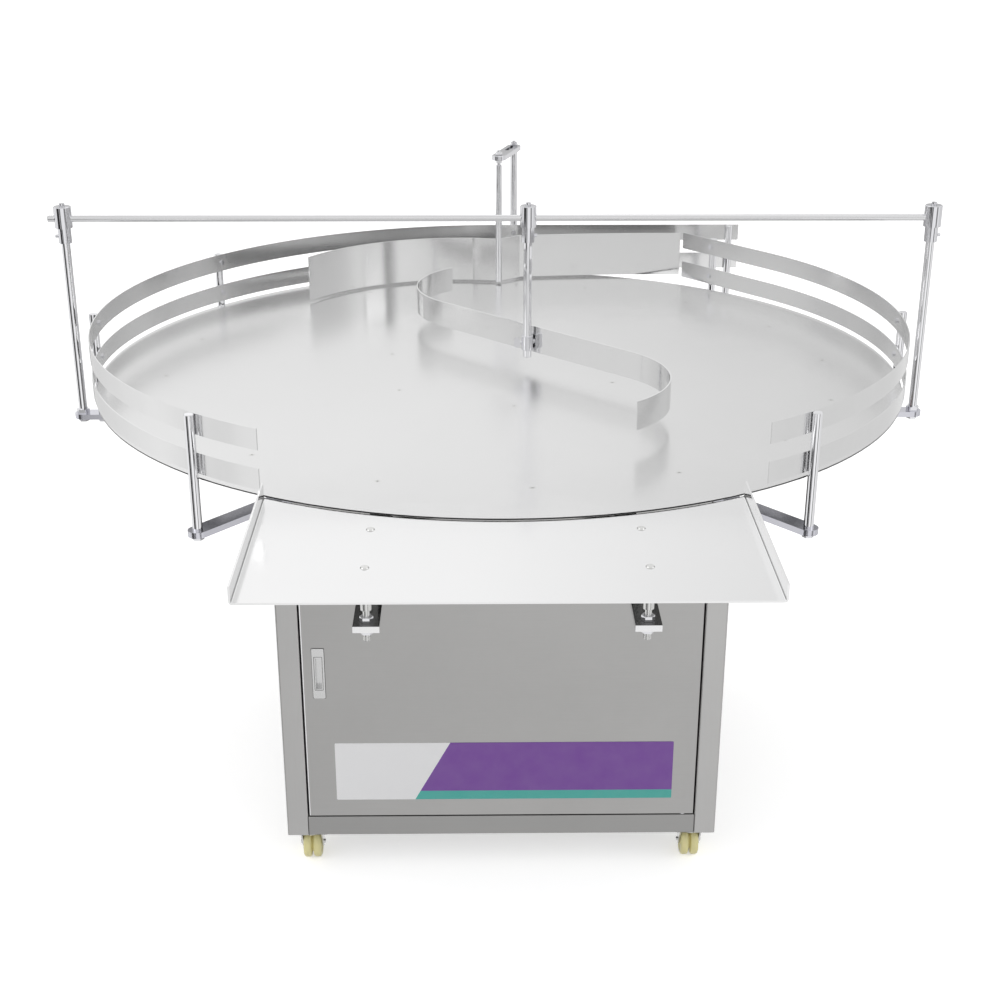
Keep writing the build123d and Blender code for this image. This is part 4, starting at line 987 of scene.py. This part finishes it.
def screw_thread(
    made: BMesh, centre: Vector, radius: float, bottom: float, top: float,
    pitch: float = 1.5 * MM, depth: float = 0.45 * MM, gap: float = 0.05 * MM,
) -> None:
    """Add a turned thread round an upright stud to a mesh in the making.

    Args:
        made: The mesh in the making.
        centre: Any point on the stud's axis.
        radius: The stud's radius.
        bottom: The thread's lowest height.
        top: The thread's highest height.
        pitch: Height of one turn.
        depth: How far the crest stands out.
        gap: Room between the stud and the thread's root.
    """
    steps, layers = 20, 4
    rows = max(2, round((top - bottom) / pitch * layers))
    rings = []
    for row in range(rows + 1):
        height = bottom + (top - bottom) * row / rows
        ring = []
        for step in range(steps):
            phase = ((height - bottom) / pitch - step / steps) % 1.0
            crest = 1.0 - abs(2.0 * phase - 1.0)
            angle = math.tau * step / steps
            reach = radius + gap + depth * crest
            point = (centre.x + reach * math.cos(angle), centre.y + reach * math.sin(angle))
            ring.append(made.verts.new((*point, height)))
        rings.append(ring)
    bridge(made, rings)
    made.faces.new(list(reversed(rings[0])))
    made.faces.new(rings[-1])


@dataclass
class Cabinet(Assembly):
    """Tube frame, sheet panels, door, pull and the plain plate on the door."""

    plate_left: float = -0.305
    plate_width: float = 0.620
    plate_bottom: float = -0.7075
    plate_height: float = 0.120
    plate_corner: float = 2.0 * MM
    plate_thickness: float = 0.6 * MM
    field_left: float = 0.145
    strip_height: float = 0.018
    pull_recess: tuple[float, float] = (0.014, 0.066)
    pull_line: float = 0.8 * MM
    highlight_width: float = 1.8 * MM
    highlight_corner: float = 0.5 * MM
    seam_width: float = 0.9 * MM
    seam_height: float = 0.06 * MM

    def extras(self) -> None:
        """Stick the plain plate to the door, lay the painted highlight along the door's bend and
        draw the pull's lines and the frame's seams.
        """
        middle = (
            self.plate_left + self.plate_width / 2,
            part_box("front_door")[0].y,
            self.plate_bottom + self.plate_height / 2,
        )
        made = bmesh.new()
        outline = rounded_outline(self.plate_width, self.plate_height, self.plate_corner)
        slab(made, outline, self.plate_thickness, facing(middle, Side.FRONT))
        finish = PlainPlate(
            "plain_plate", self.plate_left, self.plate_bottom, self.field_left, self.strip_height
        )
        keep("door_plate", finished(made), finish, "door")
        # Painted highlight along the door's bend.
        self.paint_fold_highlight()
        self.pull_lines()
        self.seams()

    def paint_fold_highlight(self) -> None:
        """Lay a painted highlight: a thin bright strip that stands in for the light caught by the
        bend along the door's free edge.
        """
        low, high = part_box("front_door")
        length = high.z - low.z - self.highlight_width
        middle = (low.x + self.highlight_width / 2, low.y, (low.z + high.z) / 2)
        made = bmesh.new()
        outline = rounded_outline(self.highlight_width, length, self.highlight_corner)
        slab(made, outline, self.seam_height, facing(middle, Side.FRONT))
        keep("door_fold_highlight", finished(made), FOLD_HIGHLIGHT, "door")

    def pull_lines(self) -> None:
        """Draw the line round the pull's plate and the one round its recess."""
        low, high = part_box("door_pull")
        x, _, z = (low + high) / 2
        plate = (high.x - low.x, high.z - low.z)
        made = bmesh.new()
        for size, y in ((plate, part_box("front_door")[0].y), (self.pull_recess, low.y)):
            place = facing((x, y, z), Side.FRONT)
            line_frame(made, size, self.pull_line, self.seam_height, place)
        keep("pull_lines", finished(made), SEAM, "door")

    def seams(self) -> None:
        """Draw the line where each rail meets a leg, on all four sides."""
        made = bmesh.new()
        leg_low, leg_high = solid_boxes("frame_legs")[0]
        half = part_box("frame_legs")[1].x
        joint = half - (leg_high.x - leg_low.x)
        turns = [Matrix.Rotation(math.radians(90 * quarter), 4, "Z") for quarter in range(4)]
        for rails in ("lower_rails", "upper_rails"):
            low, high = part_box(rails)
            outline = rounded_outline(self.seam_width, high.z - low.z)
            for turn in turns:
                for x in (-joint, joint):
                    place = turn @ facing((x, -half, (high.z + low.z) / 2), Side.FRONT)
                    slab(made, outline, self.seam_height, place)
        keep("frame_seams", finished(made), SEAM, "cabinet")


@dataclass
class Controls(Assembly):
    """Knob, stop button and switch on the right side, with their marks.

    words holds each of the switch's words and its way from the switch, across and up.
    """

    plate_margin: float = 44.0 * MM
    plate_height: float = 70.4 * MM
    plate_corner: float = 4.0 * MM
    plate_thickness: float = 0.5 * MM
    plate_edge: float = 0.2 * MM
    mark_height: float = 0.12 * MM
    tick_count: int = 11
    tick_radius: float = 23.0 * MM
    tick_length: float = 3.5 * MM
    tick_width: float = 0.9 * MM
    long_tick_every: int = 5
    long_tick_factor: float = 1.5
    first_tick: float = 90.0
    knob_turn: float = 300.0
    ring_radius: float = 27.0 * MM
    ring_height: float = 0.8 * MM
    ring_edge: float = 0.3 * MM
    ring_steps: int = 64
    letter_height: float = 7.0 * MM
    letter_distance: float = 25.5 * MM
    words: tuple[tuple[str, float, float], ...] = (("OFF", 0.0, 1.0), ("ON", -1.0, 0.0))

    def extras(self) -> None:
        """Fix the controls' plate, the scale, the stop's ring and the switch's words."""
        boxes = sorted(solid_boxes("control_bodies"), key=lambda box: box[0].y)
        knob, stop, switch = ((low + high) / 2 for low, high in boxes)
        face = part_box("side_panel_right")[1].x
        width = switch.y - knob.y + 2 * self.plate_margin
        made = bmesh.new()
        outline = rounded_outline(width, self.plate_height, self.plate_corner)
        plate = facing((face, (knob.y + switch.y) / 2, knob.z), Side.RIGHT)
        slab(made, outline, self.plate_thickness, plate, self.plate_edge)
        keep("control_plate", finished(made), ALUMINIUM, "cabinet")
        front = face + self.plate_thickness
        at_knob, at_stop, at_switch = (
            facing((front, middle.y, knob.z), Side.RIGHT) for middle in (knob, stop, switch)
        )
        keep("knob_scale", self.scale(at_knob), BLACK_INK, "cabinet")
        made = bmesh.new()
        ring = ring_points(self.ring_radius, self.ring_steps)
        slab(made, ring, self.ring_height, at_stop, self.ring_edge)
        keep("stop_ring", finished(made), YELLOW_PLASTIC, "cabinet")
        for word, across, up in self.words:
            shift = Matrix.Translation(Vector((across, up, 0.0)) * self.letter_distance)
            mesh = self.lettering(word, at_switch @ shift)
            keep(f"switch_word_{word.lower()}", mesh, BLACK_INK, "cabinet")

    def scale(self, place: Matrix) -> bpy.types.Mesh:
        """Return the ticks round the knob, over the turn that it makes.

        Args:
            place: The knob's frame on the plate.

        Returns:
            The ticks' mesh.
        """
        made = bmesh.new()
        for index in range(self.tick_count):
            share = index / (self.tick_count - 1)
            turn = Matrix.Rotation(math.radians(self.first_tick + self.knob_turn * share), 4, "Z")
            is_long = index % self.long_tick_every == 0
            length = self.tick_length * (self.long_tick_factor if is_long else 1.0)
            shift = turn @ Matrix.Translation((self.tick_radius, 0.0, 0.0))
            outline = rounded_outline(length, self.tick_width)
            slab(made, outline, self.mark_height, place @ shift)
        return finished(made)

    def lettering(self, word: str, place: Matrix) -> bpy.types.Mesh:
        """Return a plain raised word.

        Args:
            word: What it says.
            place: The frame of its middle.

        Returns:
            The word's mesh.
        """
        curve = bpy.data.curves.new("words", "FONT")
        curve.body = word
        curve.size = self.letter_height
        curve.align_x, curve.align_y = "CENTER", "CENTER"
        curve.extrude = self.mark_height
        drawn = bpy.data.objects.new("words", curve)
        mesh = bpy.data.meshes.new_from_object(drawn)
        bpy.data.objects.remove(drawn)
        mesh.transform(place)
        return mesh


@dataclass
class Turntable(Assembly):
    """Disc, its spider and hub, and the cross-head screws that hold the disc."""

    head_radius: float = 4.9 * MM
    recess_arm: float = 2.5 * MM
    recess_half: float = 0.55 * MM
    recess_depth: float = 1.4 * MM
    golden_turn: float = 2.4
    rim_steps: int = 24
    tip_share: float = 0.5

    def extras(self) -> None:
        """Drive the countersunk screws, each turned its own way."""
        made = bmesh.new()
        for index, (low, high) in enumerate(solid_boxes("table_screws")):
            middle = (low + high) / 2
            spot = Vector((middle.x, middle.y, high.z))
            self.screw(made, spot, index * self.golden_turn)
        piece = keep("cross_screws", finished(made), ZINC, "turntable")
        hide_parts("table_screws")

    def screw(self, made: BMesh, spot: Vector, turn: float) -> None:
        """Add one countersunk screw head with a cross recess.

        Args:
            made: The mesh in the making.
            spot: The middle of its top.
            turn: How far the recess is turned.
        """
        arm, half = self.recess_arm, self.recess_half
        cross = []
        for quarter in range(4):
            place = Matrix.Rotation(turn + quarter * math.pi / 2, 2)
            cross += [place @ Vector(pair) for pair in ((arm, -half), (arm, half), (half, half))]
        rim = [Vector(point) for point in ring_points(self.head_radius, self.rim_steps)]
        top = self.loop(made, rim, spot)
        edge = self.loop(made, cross, spot)
        edges = [
            made.edges.new((ring[index - 1], ring[index]))
            for ring in (top, edge)
            for index in range(len(ring))
        ]
        bmesh.ops.triangle_fill(made, use_beauty=True, edges=edges, normal=(0, 0, 1))
        floor = self.loop(made, cross, spot - Vector((0, 0, self.recess_depth)))
        tip_depth = self.head_radius * (1.0 - self.tip_share)
        narrow = [point * self.tip_share for point in rim]
        tip = self.loop(made, narrow, spot - Vector((0, 0, tip_depth)))
        bridge(made, (edge, floor))
        bridge(made, (top, tip))
        made.faces.new(floor)
        made.faces.new(tip)

    def loop(self, made: BMesh, outline: Sequence[Vector], spot: Vector) -> list:
        """Return new points of the mesh in the making, on an outline about a spot."""
        return [made.verts.new(spot + point.to_3d()) for point in outline]


@dataclass
class FeedTray(Assembly):
    """Folded tray, its brackets and its threaded levelling studs."""

    stud_radius: float = 5.0 * MM
    nut_height: float = 8.0 * MM
    rise: float = 4.5 * MM
    stud_lead: float = 0.5 * MM
    smooth_below: float = 80.0

    def extras(self) -> None:
        """Cut the studs' threads under their nuts, clear of them over the tray's rise."""
        made = bmesh.new()
        thread_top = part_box("tray_brackets")[0].z - self.nut_height - self.rise
        for low, high in solid_boxes("tray_studs"):
            middle = (low + high) / 2
            screw_thread(made, middle, self.stud_radius, low.z + self.stud_lead, thread_top)
        mesh = finished(made, self.smooth_below)
        keep("stud_threads", mesh, ZINC, "feed_tray")


@dataclass
class Casters(Assembly):
    """Plates, forks and twin-tread wheels.

    half_outline goes round one tread: distance from the wheel's middle and radius, in millimetres.
    """

    wheel_steps: int = 48
    half_outline: Pairs = (
        (17.0, 5.2), (17.0, 10.0), (15.0, 11.5), (15.0, 20.5), (16.6, 22.5), (16.9, 25.5),
        (15.6, 28.3), (13.2, 29.7), (9.2, 30.0), (5.2, 29.7), (3.2, 28.6), (2.1, 26.8), (1.9, 19.0),
    )

    def extras(self) -> None:
        """Turn each wheel as two rounded treads with a deep gap between them."""
        right = [(along * MM, radius * MM) for along, radius in self.half_outline]
        left = [(-along, radius) for along, radius in reversed(right)]
        for number in CASTER_NUMBERS:
            node = f"caster_wheel_{number}"
            low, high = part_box(node)
            mesh = revolved(right + left, (low + high) / 2, self.wheel_steps)
            piece = keep(f"twin_wheel_{number}", mesh, CREAM_NYLON, node)
            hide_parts(node)


def assemblies() -> list[Assembly]:
    """Return every sub-assembly of the table in building order."""
    cabinet = Cabinet(
        "cabinet",
        {
            SATIN_UPRIGHT: ["frame_legs", "upper_rails"],
            SATIN_RAIL: ["lower_rails"],
            SATIN: [
                "side_panel_left", "side_panel_right", "rear_panel", "floor_panel",
                "top_plate", "front_door",
            ],
            PULL_SHEET: ["door_pull"],
            TURNED: ["hinge_pins"],
            BLACK_PLASTIC: ["door_catch"],
        },
    )
    drive = Assembly(
        "drive",
        {
            CAST_GREY: ["gearbox", "bearing_housing", "fan_cowl"],
            RIBBED: ["motor", "terminal_box"],
            GREY_PLASTIC: ["drive_unit"],
            TURNED: ["drive_shaft"],
        },
    )
    controls = Controls(
        "controls",
        {
            BLACK_PLASTIC: ["control_bodies", "speed_knob", "power_switch", "cable_gland"],
            RED_PLASTIC: ["emergency_stop"],
        },
    )
    table = Turntable(
        "turntable",
        {
            TABLE_SHEET: ["turntable_disc"],
            FRAME_PAINT: ["table_spider", "table_hub"],
            ZINC: ["table_screws"],
        },
    )
    rails = Assembly(
        "guide rails",
        {
            RAIL_SHEET: [
                "outer_rail_upper", "outer_rail_lower", "inner_rail_upper", "inner_rail_lower",
            ],
            ROD: ["rail_posts", "tall_posts"],
            FLAT_BAR: ["post_arms"],
            TURNED: ["rail_screws", "bolts_and_nuts"],
        },
    )
    guide = Assembly(
        "cross bar and guide",
        {
            BAR: ["cross_bar"],
            TURNED: ["post_heads", "guide_head", "guide_clamp"],
            ROD: ["guide_rod"],
            BRIGHT_SHEET: ["s_guide"],
        },
    )
    deflector = Assembly(
        "deflector",
        {
            BRIGHT_SHEET: ["deflector_corner", "deflector_wing_left", "deflector_wing_right"],
            ROD: ["deflector_post"],
            TURNED: ["slotted_arm"],
        },
    )
    tray = FeedTray(
        "feed tray",
        {TRAY_SHEET: ["feed_tray"], BRACKET_BAR: ["tray_brackets"], ZINC: ["tray_studs"]},
    )
    feet = Casters(
        "casters",
        {
            BLACK_PAINT: ["caster_plates"],
            ZINC: [f"caster_fork_{i}" for i in CASTER_NUMBERS],
            CREAM_NYLON: [f"caster_wheel_{i}" for i in CASTER_NUMBERS],
        },
    )
    return [cabinet, drive, controls, table, rails, guide, deflector, tray, feet]


def main() -> None:
    """Build the studio and every sub-assembly in order."""
    logging.basicConfig(level=logging.INFO, format="%(message)s")
    Studio().build()
    for group in assemblies():
        group.build()


if __name__ == "__main__":
    main()
